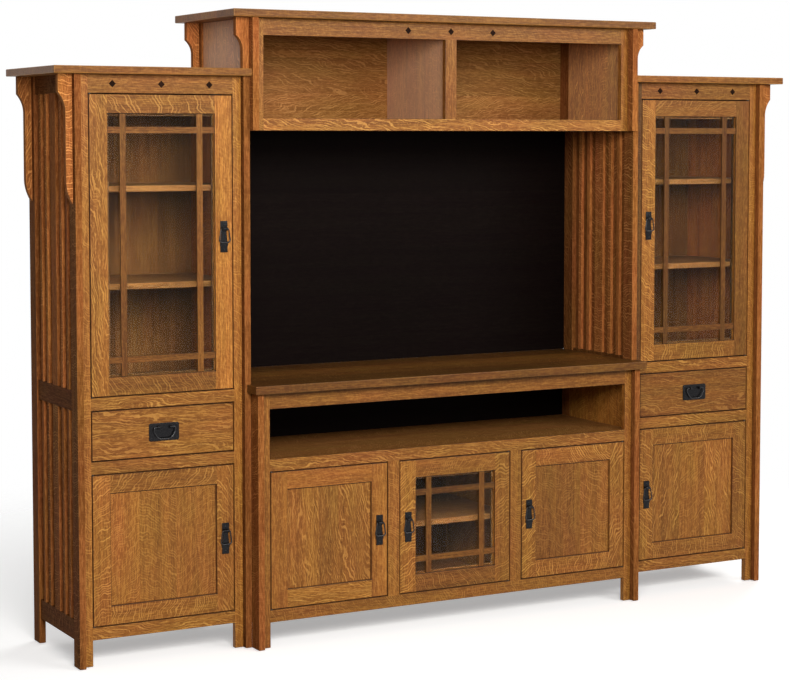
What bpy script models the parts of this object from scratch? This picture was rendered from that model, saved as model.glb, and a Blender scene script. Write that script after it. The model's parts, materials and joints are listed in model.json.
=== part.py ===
"""Mission style entertainment centre in quarter-sawn oak.

Two tall towers stand left and right of a low console, and a bridge with two cubbies spans the towers
above it. X runs along the front, Y from front to back, Z up. Every place is worked out from the sizes
below, in metres. The origin is on the floor, in the middle of the whole piece.
"""

import itertools
import math

import bmesh
import bpy
from mathutils import Matrix, Vector

# Clearances
SEAT_GAP = 0.0003
REVEAL = 0.003
OVERRUN = 0.002

# Wood sizes that every cabinet shares
POST_THICK = 0.022
POST_DEPTH = 0.057
POST_PROUD = 0.022
FRAME_THICK = 0.019
STILE_WIDTH = 0.030
RAIL_HEIGHT = 0.041
BOARD_THICK = 0.019
BACK_THICK = 0.009
FOOT_HEIGHT = 0.086
TOP_BACK_OVERHANG = 0.008

# Towers
BAY_WIDTH = 1.528
TOWER_WIDTH = 0.601
TOWER_DEPTH = 0.427
LOWER_DOOR_OPENING = 0.493
DRAWER_OPENING = 0.164
GLASS_DOOR_OPENING = 0.967
TOWER_FRIEZE = 0.060
TOWER_TOP_THICK = 0.024
TOWER_TOP_FRONT = 0.020
TOWER_TOP_SIDE = 0.0725
SHELF_SETBACK = 0.012
LOWER_SHELF_RISE = 0.340

# Slatted sides of the towers
SIDE_RAIL = 0.065
SIDE_TOP_RAIL = 0.058
SLAT_RECESS = 0.005
SLAT_THICK = 0.011
NARROW_SLAT = 0.019
CENTRE_SLAT = 0.051

# Corbels, flush with the face frame and the same on the towers and the bridge
CORBEL_THICK = 0.022
CORBEL_REACH = 0.046
CORBEL_CAP = 0.058
CORBEL_STEM = 0.022
CORBEL_SWEEP = 0.062
CORBEL_LENGTH = 0.410
CORBEL_TAIL = 0.075
CORBEL_ROOT = 0.009
CORBEL_STEPS = 6

# Doors and the pivots they turn on
DOOR_THICK = 0.019
DOOR_MEMBER = 0.061
PANEL_RECESS = 0.006
PANEL_THICK = 0.007
GLASS_THICK = 0.004
GLASS_SETBACK = 0.008
GLASS_GROOVE = 0.008
MUNTIN_WIDTH = 0.022
MUNTIN_SETBACK = 0.002
CORNER_PANE = 0.0415
PIVOT_INSET = 0.003
PIVOT_SETBACK = 0.0045
PIN_RADIUS = 0.0028
PIN_LENGTH = 0.009
PIN_ROOT = 0.008
PIN_CLEARANCE = 0.0005
WASHER_RADIUS = 0.0043
PIN_SIDES = 12

# Drawers
DRAWER_DEPTH = 0.355
DRAWER_SIDE = 0.012
DRAWER_BOTTOM = 0.008
DRAWER_TOP_CLEARANCE = 0.020

# Console
CONSOLE_FORWARD = 0.054
CONSOLE_DEPTH = 0.464
CONSOLE_DOOR_OPENING = 0.464
MEDIA_BAY_OPENING = 0.167
CONSOLE_TOP_RAIL = 0.055
CONSOLE_TOP_THICK = 0.0275
CONSOLE_TOP_FRONT = 0.019
CONSOLE_EAR = 0.0156
CONSOLE_MID_STILE = 0.045
CENTRE_DOOR_WIDTH = 0.446
CONSOLE_SHELF_RISE = 0.223
SIDE_PANEL = 0.016

# Bridge above the screen bay
BRIDGE_FORWARD = 0.0165
BRIDGE_RISE = 0.167
BRIDGE_FRIEZE = 0.0565
CUBBY_OPENING = 0.271
BRIDGE_DIVIDER = 0.045
BRIDGE_TOP_THICK = 0.025
BRIDGE_TOP_FRONT = 0.011
BRIDGE_TOP_SIDE = 0.0718
BRIDGE_BACK_THICK = 0.006
BRIDGE_POST_PROUD = 0.031
BRIDGE_CORBEL_SWEEP = 0.048

# Iron pulls: a bell-shaped plate on each door, an oblong one on each drawer
PLATE_THICK = 0.0025
DOOR_PLATE_HEIGHT = 0.103
DOOR_PLATE_TAB = 0.025
DOOR_PLATE_TAB_HEIGHT = 0.031
DOOR_PLATE_NECK = 0.018
DOOR_PLATE_BELL = 0.029
DOOR_PLATE_BELL_RISE = 0.022
DOOR_PLATE_SHOULDER = 0.004
GLASS_DOOR_PULL_RAISE = 0.020
DRAWER_PLATE_WIDTH = 0.104
DRAWER_PLATE_HEIGHT = 0.058
DRAWER_PLATE_EASE = 0.004
ROD_RADIUS = 0.0024
ROD_BEND = 0.006
ROD_BEND_STEPS = 3
EAR_HALF_HEIGHT = 0.0052
EAR_REACH = 0.0112
EAR_AXIS_REACH = 0.0062
EAR_BORE_CLEARANCE = 0.0006
DOOR_EAR_HALF_WIDTH = 0.0095
DOOR_EAR_DROP = 0.0255
DOOR_BAIL_TOP = 0.027
DOOR_BAIL_BOTTOM = 0.040
DOOR_BAIL_DROP = 0.045
DRAWER_EAR_SPREAD = 0.042
DRAWER_EAR_WIDTH = 0.008
DRAWER_EAR_DROP = 0.013
DRAWER_BAIL_WIDTH = 0.079
DRAWER_BAIL_FOOT = 0.046
DRAWER_BAIL_WAIST = 0.014
DRAWER_BAIL_DROP = 0.038
PIN_ENTRY = 0.0045

# Places in the coordinate frame that the sizes give
BRIDGE_BACK_REAR = TOWER_DEPTH + SEAT_GAP + BRIDGE_BACK_THICK
REAR_REACH = max(TOWER_DEPTH + TOP_BACK_OVERHANG, BRIDGE_BACK_REAR)
FRONT_REACH = CONSOLE_FORWARD + POST_PROUD + CONSOLE_TOP_FRONT
FACE = (FRONT_REACH - REAR_REACH) / 2
CONSOLE_FACE = FACE - CONSOLE_FORWARD
BRIDGE_FACE = FACE - BRIDGE_FORWARD
REAR = FACE + TOWER_DEPTH
CONSOLE_REAR = CONSOLE_FACE + CONSOLE_DEPTH
INNER_X = BAY_WIDTH / 2
OUTER_X = INNER_X + TOWER_WIDTH
CORE_X = INNER_X - SEAT_GAP

TOWER_FLOOR = FOOT_HEIGHT + RAIL_HEIGHT
LOWER_DOOR_TOP = TOWER_FLOOR + LOWER_DOOR_OPENING
DRAWER_FLOOR = LOWER_DOOR_TOP + RAIL_HEIGHT
DRAWER_TOP = DRAWER_FLOOR + DRAWER_OPENING
GLASS_FLOOR = DRAWER_TOP + RAIL_HEIGHT
GLASS_TOP = GLASS_FLOOR + GLASS_DOOR_OPENING
TOWER_EAVE = GLASS_TOP + TOWER_FRIEZE
TOWER_HEIGHT = TOWER_EAVE + TOWER_TOP_THICK

CONSOLE_FLOOR = FOOT_HEIGHT + RAIL_HEIGHT
CONSOLE_DOOR_TOP = CONSOLE_FLOOR + CONSOLE_DOOR_OPENING
BAY_FLOOR = CONSOLE_DOOR_TOP + RAIL_HEIGHT
BAY_TOP = BAY_FLOOR + MEDIA_BAY_OPENING
CONSOLE_EAVE = BAY_TOP + CONSOLE_TOP_RAIL
CONSOLE_HEIGHT = CONSOLE_EAVE + CONSOLE_TOP_THICK

BRIDGE_EAVE = TOWER_HEIGHT + BRIDGE_RISE
CUBBY_TOP = BRIDGE_EAVE - BRIDGE_FRIEZE
CUBBY_FLOOR = CUBBY_TOP - CUBBY_OPENING
BRIDGE_FOOT = CUBBY_FLOOR - RAIL_HEIGHT

# Colours as read from the finish, with roughness and metallic value
OAK_FRONT = ((0.420, 0.185, 0.050), 0.42, 0.0)
OAK_SIDE = ((0.215, 0.082, 0.026), 0.45, 0.0)
OAK_INSIDE = ((0.300, 0.125, 0.038), 0.50, 0.0)
OAK_BACK = ((0.120, 0.055, 0.024), 0.60, 0.0)
CLEAR_GLASS = ((0.800, 0.860, 0.840), 0.03, 0.0)
BLACK_IRON = ((0.018, 0.018, 0.020), 0.45, 0.85)

PLANE_DIGITS = 7
FLAT_ANGLE = math.radians(0.5)


def clear_scene():
    for obj in list(bpy.data.objects):
        bpy.data.objects.remove(obj, do_unlink=True)


def finish(name, look):
    """A Principled material of its own for one piece."""
    colour, roughness, metallic = look
    material = bpy.data.materials.new(name + "_finish")
    material.use_nodes = True
    shader = material.node_tree.nodes["Principled BSDF"]
    shader.inputs["Base Color"].default_value = (*colour, 1.0)
    shader.inputs["Roughness"].default_value = roughness
    shader.inputs["Metallic"].default_value = metallic
    return material


def add_object(name, bm, look, origin, parent=None):
    """An object from a mesh in world coordinates, with its own origin put on the given point."""
    bmesh.ops.translate(bm, vec=-Vector(origin), verts=bm.verts)
    bmesh.ops.recalc_face_normals(bm, faces=bm.faces)
    mesh = bpy.data.meshes.new(name)
    bm.to_mesh(mesh)
    bm.free()
    obj = bpy.data.objects.new(name, mesh)
    bpy.context.scene.collection.objects.link(obj)
    if look:
        mesh.materials.append(finish(name, look))
    place(obj, origin, parent)
    return obj


def place(obj, origin, parent):
    """Sets a world place, seen from the parent where there is one. Nothing is turned at rest."""
    obj.location = Vector(origin)
    if parent:
        obj.parent = parent
        obj.location -= world_place(parent)


def world_place(obj):
    return obj.location + (world_place(obj.parent) if obj.parent else Vector())


def span(first, second):
    """A range between two places, low end first."""
    return (min(first, second), max(first, second))


def mirrored(boards, side):
    """The same boards for the right (+1) or the left (-1) half."""
    return [(span(side * x[0], side * x[1]), y, z) for x, y, z in boards]


def glue_up(boards):
    """One closed mesh from boards that touch or overlap, each an x, a y and a z range.

    Every board face cuts space into cells. The cells inside a board are kept, the faces between a kept
    cell and an empty one become the skin, and flat neighbours are merged again.
    """
    cuts = [
        sorted({round(end, PLANE_DIGITS) for board in boards for end in board[axis]})
        for axis in range(3)
    ]
    filled = set()
    for board in boards:
        reach = [[cuts[axis].index(round(end, PLANE_DIGITS)) for end in board[axis]] for axis in range(3)]
        filled.update(itertools.product(*(range(low, high) for low, high in reach)))
    bm = bmesh.new()
    corners = {}

    def corner(index):
        if index not in corners:
            corners[index] = bm.verts.new([cuts[axis][index[axis]] for axis in range(3)])
        return corners[index]

    for cell in sorted(filled):
        for axis, step in itertools.product(range(3), (0, 1)):
            beyond = list(cell)
            beyond[axis] += 2 * step - 1
            if tuple(beyond) in filled:
                continue
            ring = []
            for du, dv in ((0, 0), (1, 0), (1, 1), (0, 1)):
                index = list(cell)
                index[axis] += step
                index[(axis + 1) % 3] += du
                index[(axis + 2) % 3] += dv
                ring.append(corner(tuple(index)))
            bm.faces.new(ring if step else reversed(ring))
    bmesh.ops.dissolve_limit(bm, angle_limit=FLAT_ANGLE, verts=bm.verts, edges=bm.edges)
    return bm


def wooden(name, boards, look, origin=(0, 0, 0), parent=None):
    return add_object(name, glue_up(boards), look, origin, parent)


def slab(bm, outline, start, travel):
    """Adds a flat outline of points, each carried on from start, as a slab that reaches by travel."""
    ring = [bm.verts.new(Vector(start) + Vector(point)) for point in outline]
    face = bm.faces.new(ring)
    raised = bmesh.ops.extrude_face_region(bm, geom=[face])["geom"]
    moved = [item for item in raised if isinstance(item, bmesh.types.BMVert)]
    bmesh.ops.translate(bm, vec=Vector(travel), verts=moved)


def add_rod(bm, centre, axis, length, radius):
    """Adds a round rod that starts at centre and runs along an axis, 0 for X or 2 for Z."""
    turn = Matrix.Rotation(math.radians(90), 4, "Y") if axis == 0 else Matrix.Identity(4)
    middle = Vector(centre)
    middle[axis] += length / 2
    bmesh.ops.create_cone(
        bm,
        cap_ends=True,
        segments=PIN_SIDES,
        radius1=radius,
        radius2=radius,
        depth=length,
        matrix=Matrix.Translation(middle) @ turn,
    )


def combine(target, bm, operation, label):
    """Joins or cuts a mesh in world coordinates with a Boolean, by a helper that follows its target."""
    helper = add_object(target.name + "_" + label, bm, None, world_place(target), target)
    helper.hide_render = True
    helper.display_type = "WIRE"
    modifier = target.modifiers.new(label, "BOOLEAN")
    modifier.operation = operation
    modifier.solver = "EXACT"
    modifier.object = helper


def arc_from_stem(depth, height):
    """Points of a round arc that leaves the stem upright: how far out, and how far along."""
    radius = (depth**2 + height**2) / (2 * depth)
    steps = [height * step / CORBEL_STEPS for step in range(CORBEL_STEPS + 1)]
    return [(radius - math.sqrt(radius**2 - along**2), along) for along in steps]


def corbel_outline(reach, cap, stem, sweep, length, tail):
    """Outline of a corbel in the XZ plane, from its upper corner at the post, reaching to +X."""
    hollow = arc_from_stem(reach - stem, sweep)
    outline = [(-CORBEL_ROOT, 0, 0), (reach, 0, 0)]
    outline += [(stem + out, 0, -cap - sweep + up) for out, up in reversed(hollow)]
    if tail:
        outline += [(stem - out, 0, tail - length - along) for out, along in arc_from_stem(stem, tail)]
        outline.append((-CORBEL_ROOT, 0, -length))
    else:
        outline += [(stem, 0, -length), (-CORBEL_ROOT, 0, -length)]
    return outline


def add_corbels(target, side, face_x, top, fronts, sizes):
    """Glues corbels to the outside of a post, one for each front place, and mirrors them to the left."""
    bm = bmesh.new()
    outline = [(side * x, y, z) for x, y, z in corbel_outline(*sizes)]
    for front in fronts:
        slab(bm, outline, (side * face_x, front, top), (0, CORBEL_THICK, 0))
    combine(target, bm, "UNION", "corbels")


def slat_places(field):
    """Where each slat lies between two posts, with even gaps."""
    widths = [NARROW_SLAT, NARROW_SLAT, CENTRE_SLAT, NARROW_SLAT, NARROW_SLAT]
    gap = (field[1] - field[0] - sum(widths)) / (len(widths) + 1)
    places = []
    start = field[0] + gap
    for width in widths:
        places.append((start, start + width))
        start += width + gap
    return places


def slatted_side(face_x, facing):
    """Boards of a tower's side: two posts, three rails, slats and the thin board behind them."""
    front_post = (FACE - POST_PROUD, FACE - POST_PROUD + POST_DEPTH)
    back_post = (REAR - POST_DEPTH, REAR)
    field = (front_post[1], back_post[0])
    eave = TOWER_EAVE - SEAT_GAP
    post_x = span(face_x, face_x - facing * POST_THICK)
    slat_x = span(face_x - facing * SLAT_RECESS, face_x - facing * (SLAT_RECESS + SLAT_THICK))
    rail_x = span(face_x - facing * SLAT_RECESS, face_x - facing * POST_THICK)
    boards = [(post_x, front_post, (0, eave)), (post_x, back_post, (0, eave))]
    boards.append((rail_x, field, (FOOT_HEIGHT, FOOT_HEIGHT + SIDE_RAIL)))
    boards.append((rail_x, field, (DRAWER_TOP, DRAWER_TOP + SIDE_RAIL)))
    boards.append((rail_x, field, (eave - SIDE_TOP_RAIL, eave)))
    backing_x = span(face_x - facing * (SLAT_RECESS + SLAT_THICK), face_x - facing * POST_THICK)
    boards.append((backing_x, field, (FOOT_HEIGHT, eave)))
    for place_y in slat_places(field):
        boards.append((slat_x, place_y, (FOOT_HEIGHT, eave)))
    return boards


def framed(x, y, z, member):
    """The four boards of a frame that fills an x and a z range."""
    return [
        ((x[0], x[0] + member), y, z),
        ((x[1] - member, x[1]), y, z),
        (x, y, (z[0], z[0] + member)),
        (x, y, (z[1] - member, z[1])),
    ]


def inner(edges, margin):
    """A range drawn in by a margin at both ends."""
    return (edges[0] + margin, edges[1] - margin)


def pivot_place(opening_x, face_y, hinge):
    """The upright line that a door turns on. Hinge is +1 at the opening's right edge, -1 at its left."""
    edge = opening_x[1] if hinge > 0 else opening_x[0]
    return edge - hinge * (REVEAL + PIVOT_INSET), face_y + PIVOT_SETBACK


def bore_pivots(frame, doors):
    """Bores the blind holes that take the pivot pins, above and below each door opening."""
    bm = bmesh.new()
    depth = PIN_LENGTH + PIN_CLEARANCE
    for opening_x, opening_z, face_y, hinge in doors:
        x, y = pivot_place(opening_x, face_y, hinge)
        radius = (PIN_RADIUS + PIN_CLEARANCE) / math.cos(math.pi / PIN_SIDES)
        add_rod(bm, (x, y, opening_z[0] - depth), 2, depth + OVERRUN, radius)
        add_rod(bm, (x, y, opening_z[1] - OVERRUN), 2, depth + OVERRUN, radius)
    combine(frame, bm, "DIFFERENCE", "pivot_holes")


def add_pivots(leaf, opening_x, opening_z, face_y, hinge):
    """Gives a door its two pivot pins and the washer that it stands on."""
    x, y = pivot_place(opening_x, face_y, hinge)
    bm = bmesh.new()
    length = PIN_ROOT + REVEAL + PIN_LENGTH
    add_rod(bm, (x, y, opening_z[0] - PIN_LENGTH), 2, length, PIN_RADIUS)
    add_rod(bm, (x, y, opening_z[1] - REVEAL - PIN_ROOT), 2, length, PIN_RADIUS)
    combine(leaf, bm, "UNION", "pivot_pins")
    washer = bmesh.new()
    add_rod(washer, (x, y, opening_z[0] + SEAT_GAP), 2, REVEAL + OVERRUN, WASHER_RADIUS)
    combine(leaf, washer, "UNION", "pivot_washer")


def door_leaf(name, opening_x, opening_z, face_y, hinge, glazed):
    """A flush door that fills an opening but for the reveal, with its origin on its pivot line."""
    x = inner(opening_x, REVEAL)
    z = inner(opening_z, REVEAL)
    light_x = inner(x, DOOR_MEMBER)
    light_z = inner(z, DOOR_MEMBER)
    depth = (face_y, face_y + DOOR_THICK)
    pivot = (*pivot_place(opening_x, face_y, hinge), z[0])
    if not glazed:
        boards = framed(x, depth, z, DOOR_MEMBER)
        panel_y = face_y + PANEL_RECESS
        boards.append((light_x, (panel_y, panel_y + PANEL_THICK), light_z))
        leaf = wooden(name, boards, OAK_FRONT, pivot)
        add_pivots(leaf, opening_x, opening_z, face_y, hinge)
        return leaf
    glass_y = face_y + GLASS_SETBACK
    lip = (face_y, glass_y - SEAT_GAP)
    bed = (glass_y + GLASS_THICK + SEAT_GAP, face_y + DOOR_THICK)
    boards = framed(x, lip, z, DOOR_MEMBER) + framed(x, bed, z, DOOR_MEMBER)
    boards += framed(x, depth, z, DOOR_MEMBER - GLASS_GROOVE)
    bar_y = (face_y + MUNTIN_SETBACK, lip[1])
    for low, high in (light_x, light_z):
        near = (low + CORNER_PANE, low + CORNER_PANE + MUNTIN_WIDTH)
        far = (high - CORNER_PANE - MUNTIN_WIDTH, high - CORNER_PANE)
        upright = (low, high) == light_x
        boards += [(bar, bar_y, light_z) if upright else (light_x, bar_y, bar) for bar in (near, far)]
    leaf = wooden(name + "_frame", boards, OAK_FRONT, pivot)
    add_pivots(leaf, opening_x, opening_z, face_y, hinge)
    hidden = GLASS_GROOVE - SEAT_GAP
    pane = (inner(light_x, -hidden), (glass_y, glass_y + GLASS_THICK), inner(light_z, -hidden))
    wooden(name + "_glass", [pane], CLEAR_GLASS, pivot, leaf)
    return leaf


def bell_outline():
    """Half of the door plate's outline, from its top to its bottom, as how far out and how high."""
    tab = DOOR_PLATE_TAB / 2
    neck = DOOR_PLATE_NECK / 2
    top = DOOR_PLATE_HEIGHT / 2
    upper_tab = top - DOOR_PLATE_TAB_HEIGHT
    bell_foot = DOOR_PLATE_BELL_RISE - top
    lower_tab = bell_foot - DOOR_PLATE_SHOULDER
    return [
        (tab, top),
        (tab, upper_tab),
        (neck, upper_tab - DOOR_PLATE_SHOULDER),
        (DOOR_PLATE_BELL / 2, bell_foot + DOOR_PLATE_SHOULDER),
        (DOOR_PLATE_BELL / 2, bell_foot),
        (tab, lower_tab),
        (tab, -top),
    ]


def oblong_outline():
    """Half of the drawer plate's outline, with eased corners."""
    out = DRAWER_PLATE_WIDTH / 2
    top = DRAWER_PLATE_HEIGHT / 2
    ease = DRAWER_PLATE_EASE
    return [(out - ease, top), (out, top - ease), (out, ease - top), (out - ease, -top)]


def pull_plate(name, leaf, centre, half_outline, ears, axis_z):
    """A plate on the face of a door or drawer, with bored ears for the bail in front of it."""
    x, face_y, z = centre
    back_y = face_y - SEAT_GAP
    outline = [(out, 0, up) for out, up in half_outline]
    outline += [(-out, 0, up) for out, up in reversed(half_outline)]
    bm = bmesh.new()
    slab(bm, outline, (x, back_y, z), (0, -PLATE_THICK, 0))
    plate = add_object(name, bm, BLACK_IRON, (x, face_y, z), leaf)
    front_y = back_y - PLATE_THICK
    axis_y = front_y - EAR_AXIS_REACH
    blocks = bmesh.new()
    bores = bmesh.new()
    for ear in ears:
        height = (axis_z - EAR_HALF_HEIGHT, axis_z + EAR_HALF_HEIGHT)
        corners = [(x + ear[0], 0, height[0]), (x + ear[1], 0, height[0])]
        corners += [(x + ear[1], 0, height[1]), (x + ear[0], 0, height[1])]
        slab(blocks, corners, (0, back_y - PLATE_THICK / 2, 0), (0, -EAR_REACH - PLATE_THICK / 2, 0))
        radius = (ROD_RADIUS + EAR_BORE_CLEARANCE) / math.cos(math.pi / PIN_SIDES)
        length = ear[1] - ear[0] + 2 * OVERRUN
        add_rod(bores, (x + ear[0] - OVERRUN, axis_y, axis_z), 0, length, radius)
    combine(plate, blocks, "UNION", "ears")
    combine(plate, bores, "DIFFERENCE", "ear_bores")
    return axis_y


def rounded(corners):
    """The corners of a bent rod, each drawn as an arc where the rod turns."""
    points = [Vector(corners[0])]
    for before, corner, after in zip(corners, corners[1:], corners[2:]):
        corner = Vector(corner)
        back = (Vector(before) - corner).normalized()
        ahead = (Vector(after) - corner).normalized()
        half = back.angle(ahead) / 2
        cut = ROD_BEND / math.tan(half)
        middle = corner + (back + ahead).normalized() * ROD_BEND / math.sin(half)
        start = corner + back * cut - middle
        end = corner + ahead * cut - middle
        for step in range(ROD_BEND_STEPS + 1):
            turned = start.normalized().slerp(end.normalized(), step / ROD_BEND_STEPS)
            points.append(middle + turned * ROD_BEND)
    points.append(Vector(corners[-1]))
    return points


def bail(name, leaf, x, axis_y, axis_z, half_path):
    """A bent rod that hangs from its ears, with its origin on the line through them."""
    corners = [(-out, 0, -down) for out, down in half_path]
    corners += [(out, 0, -down) for out, down in reversed(half_path)]
    points = rounded(corners)
    curve = bpy.data.curves.new(name, "CURVE")
    curve.dimensions = "3D"
    curve.bevel_depth = ROD_RADIUS
    curve.bevel_resolution = 2
    curve.use_fill_caps = True
    spline = curve.splines.new("POLY")
    spline.points.add(len(points) - 1)
    for spot, point in zip(spline.points, points):
        spot.co = (*point, 1.0)
    curve.materials.append(finish(name, BLACK_IRON))
    obj = bpy.data.objects.new(name, curve)
    bpy.context.scene.collection.objects.link(obj)
    place(obj, (x, axis_y, axis_z), leaf)


def door_pull(name, leaf, opening_x, opening_z, face_y, hinge, raise_by=0.0):
    """Plate and bail on the free stile of a door."""
    free_edge = opening_x[0] if hinge > 0 else opening_x[1]
    x = free_edge + hinge * (REVEAL + DOOR_MEMBER / 2)
    z = sum(opening_z) / 2 + raise_by
    axis_z = z + DOOR_PLATE_HEIGHT / 2 - DOOR_EAR_DROP
    ears = [(-DOOR_EAR_HALF_WIDTH, DOOR_EAR_HALF_WIDTH)]
    plate = name + "_plate"
    axis_y = pull_plate(plate, leaf, (x, face_y, z), bell_outline(), ears, axis_z)
    path = [
        (DOOR_EAR_HALF_WIDTH - PIN_ENTRY, 0.0),
        (DOOR_BAIL_TOP / 2, 0.0),
        (DOOR_BAIL_BOTTOM / 2, DOOR_BAIL_DROP),
    ]
    bail(name + "_bail", leaf, x, axis_y, axis_z, path)


def drawer_pull(name, front, centre):
    """Oblong plate and swan bail in the middle of a drawer front."""
    x, face_y, z = centre
    axis_z = z + DRAWER_PLATE_HEIGHT / 2 - DRAWER_EAR_DROP
    near = (DRAWER_EAR_SPREAD - DRAWER_EAR_WIDTH) / 2
    far = (DRAWER_EAR_SPREAD + DRAWER_EAR_WIDTH) / 2
    axis_y = pull_plate(name + "_plate", front, centre, oblong_outline(), [(-far, -near), (near, far)], axis_z)
    path = [
        (far - PIN_ENTRY, 0.0),
        (DRAWER_BAIL_WIDTH / 2 - ROD_RADIUS, 0.0),
        (DRAWER_BAIL_WIDTH / 2 - ROD_RADIUS, DRAWER_BAIL_WAIST),
        (DRAWER_BAIL_FOOT / 2, DRAWER_BAIL_DROP),
    ]
    bail(name + "_bail", front, x, axis_y, axis_z, path)


def face_frame(name, x, z, face_y, openings, look, doors):
    """A frame of stiles and rails: its outline less the openings, with holes for the door pivots."""
    depth = (face_y, face_y + FRAME_THICK)
    cuts_x = sorted({*x, *(end for opening in openings for end in opening[0])})
    cuts_z = sorted({*z, *(end for opening in openings for end in opening[1])})
    boards = []
    for cell_x, cell_z in itertools.product(zip(cuts_x, cuts_x[1:]), zip(cuts_z, cuts_z[1:])):
        middle = (sum(cell_x) / 2, sum(cell_z) / 2)
        if not any(ox[0] < middle[0] < ox[1] and oz[0] < middle[1] < oz[1] for ox, oz in openings):
            boards.append((cell_x, depth, cell_z))
    frame = wooden(name, boards, look)
    if doors:
        bore_pivots(frame, doors)


def tower(side, label):
    """One tower. Side is +1 for the right tower and -1 for its mirror image on the left."""
    core = (INNER_X + POST_THICK + SEAT_GAP, OUTER_X - POST_THICK - SEAT_GAP)
    opening = (INNER_X + POST_THICK + STILE_WIDTH, OUTER_X - POST_THICK - STILE_WIDTH)
    behind_frame = FACE + FRAME_THICK + SEAT_GAP
    before_back = REAR - BACK_THICK - SEAT_GAP
    eave = TOWER_EAVE - SEAT_GAP

    def part(name, boards, look):
        return wooden(label + name, mirrored(boards, side), look)

    top_x = (INNER_X, OUTER_X + TOWER_TOP_SIDE)
    top_y = (FACE - POST_PROUD - TOWER_TOP_FRONT, REAR + TOP_BACK_OVERHANG)
    part("_tower_top", [(top_x, top_y, (TOWER_EAVE, TOWER_HEIGHT))], OAK_FRONT)

    outer = part("_tower_outer_side", slatted_side(OUTER_X, 1), OAK_SIDE)
    fronts = [FACE, REAR - POST_DEPTH + POST_PROUD]
    sizes = (CORBEL_REACH, CORBEL_CAP, CORBEL_STEM, CORBEL_SWEEP, CORBEL_LENGTH, CORBEL_TAIL)
    add_corbels(outer, side, OUTER_X, eave, fronts, sizes)
    part("_tower_inner_side", slatted_side(INNER_X, -1), OAK_SIDE)

    lower = (TOWER_FLOOR, LOWER_DOOR_TOP)
    upper = (GLASS_FLOOR, GLASS_TOP)
    drawer_z = (DRAWER_FLOOR, DRAWER_TOP)
    under = (0, FOOT_HEIGHT)
    world_opening = span(side * opening[0], side * opening[1])
    world_core = span(side * core[0], side * core[1])
    doors = [(world_opening, lower, FACE, side), (world_opening, upper, FACE, side)]
    openings = [(world_opening, gap) for gap in (under, lower, drawer_z, upper)]
    face_frame(label + "_tower_face_frame", world_core, (0, eave), FACE, openings, OAK_FRONT, doors)

    part("_tower_back", [(core, (REAR - BACK_THICK, REAR), (FOOT_HEIGHT, eave))], OAK_BACK)
    deep = (behind_frame, before_back)
    deck = (TOWER_FLOOR - BOARD_THICK, TOWER_FLOOR)
    part("_tower_bottom_deck", [(core, deep, deck)], OAK_INSIDE)
    guide = (DRAWER_FLOOR, GLASS_FLOOR - BOARD_THICK)
    case = [
        (core, deep, (DRAWER_FLOOR - BOARD_THICK, DRAWER_FLOOR)),
        (core, deep, (GLASS_FLOOR - BOARD_THICK, GLASS_FLOOR)),
        ((opening[0] - BOARD_THICK, opening[0]), deep, guide),
        ((opening[1], opening[1] + BOARD_THICK), deep, guide),
    ]
    part("_tower_drawer_case", case, OAK_INSIDE)
    shelf_y = (FACE + DOOR_THICK + SHELF_SETBACK, before_back)
    lower_shelf = GLASS_FLOOR + LOWER_SHELF_RISE
    upper_shelf = (lower_shelf + GLASS_TOP) / 2
    for shelf_name, shelf_z in (("_tower_lower_shelf", lower_shelf), ("_tower_upper_shelf", upper_shelf)):
        part(shelf_name, [(core, shelf_y, (shelf_z, shelf_z + BOARD_THICK))], OAK_INSIDE)

    glass_name = label + "_glass_door"
    glass_door = door_leaf(glass_name, world_opening, upper, FACE, side, True)
    door_pull(glass_name, glass_door, world_opening, upper, FACE, side, GLASS_DOOR_PULL_RAISE)
    lower_name = label + "_lower_door"
    lower_door = door_leaf(lower_name, world_opening, lower, FACE, side, False)
    door_pull(lower_name, lower_door, world_opening, lower, FACE, side)
    drawer(label + "_drawer", world_opening, drawer_z)


def drawer(name, opening_x, opening_z):
    """A drawer that rests on the deck below it: front, two sides, back and bottom in one."""
    x = inner(opening_x, REVEAL)
    z = inner(opening_z, REVEAL)
    box_y = (FACE + DOOR_THICK, FACE + DOOR_THICK + DRAWER_DEPTH)
    base = opening_z[0] + SEAT_GAP
    box_z = (base, opening_z[1] - DRAWER_TOP_CLEARANCE)
    boards = [
        (x, (FACE, box_y[0]), z),
        ((x[0], x[0] + DRAWER_SIDE), box_y, box_z),
        ((x[1] - DRAWER_SIDE, x[1]), box_y, box_z),
        (x, (box_y[1] - DRAWER_SIDE, box_y[1]), box_z),
        (x, box_y, (base, base + DRAWER_BOTTOM)),
    ]
    centre = (sum(x) / 2, FACE, sum(z) / 2)
    front = wooden(name, boards, OAK_FRONT, centre)
    drawer_pull(name, front, centre)


def posted_side(name, side, front_y, rear, bottom, panel_bottom, eave):
    """A plain side for the console or the bridge: two posts and a board set in between them."""
    post_x = (CORE_X - POST_THICK, CORE_X)
    panel_x = (CORE_X - POST_THICK, CORE_X - POST_THICK + SIDE_PANEL)
    field = (front_y + POST_DEPTH, rear - POST_DEPTH)
    boards = [
        (post_x, (front_y, field[0]), (bottom, eave)),
        (post_x, (field[1], rear), (bottom, eave)),
        (panel_x, field, (panel_bottom, eave)),
    ]
    return wooden(name, mirrored(boards, side), OAK_SIDE)


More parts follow.
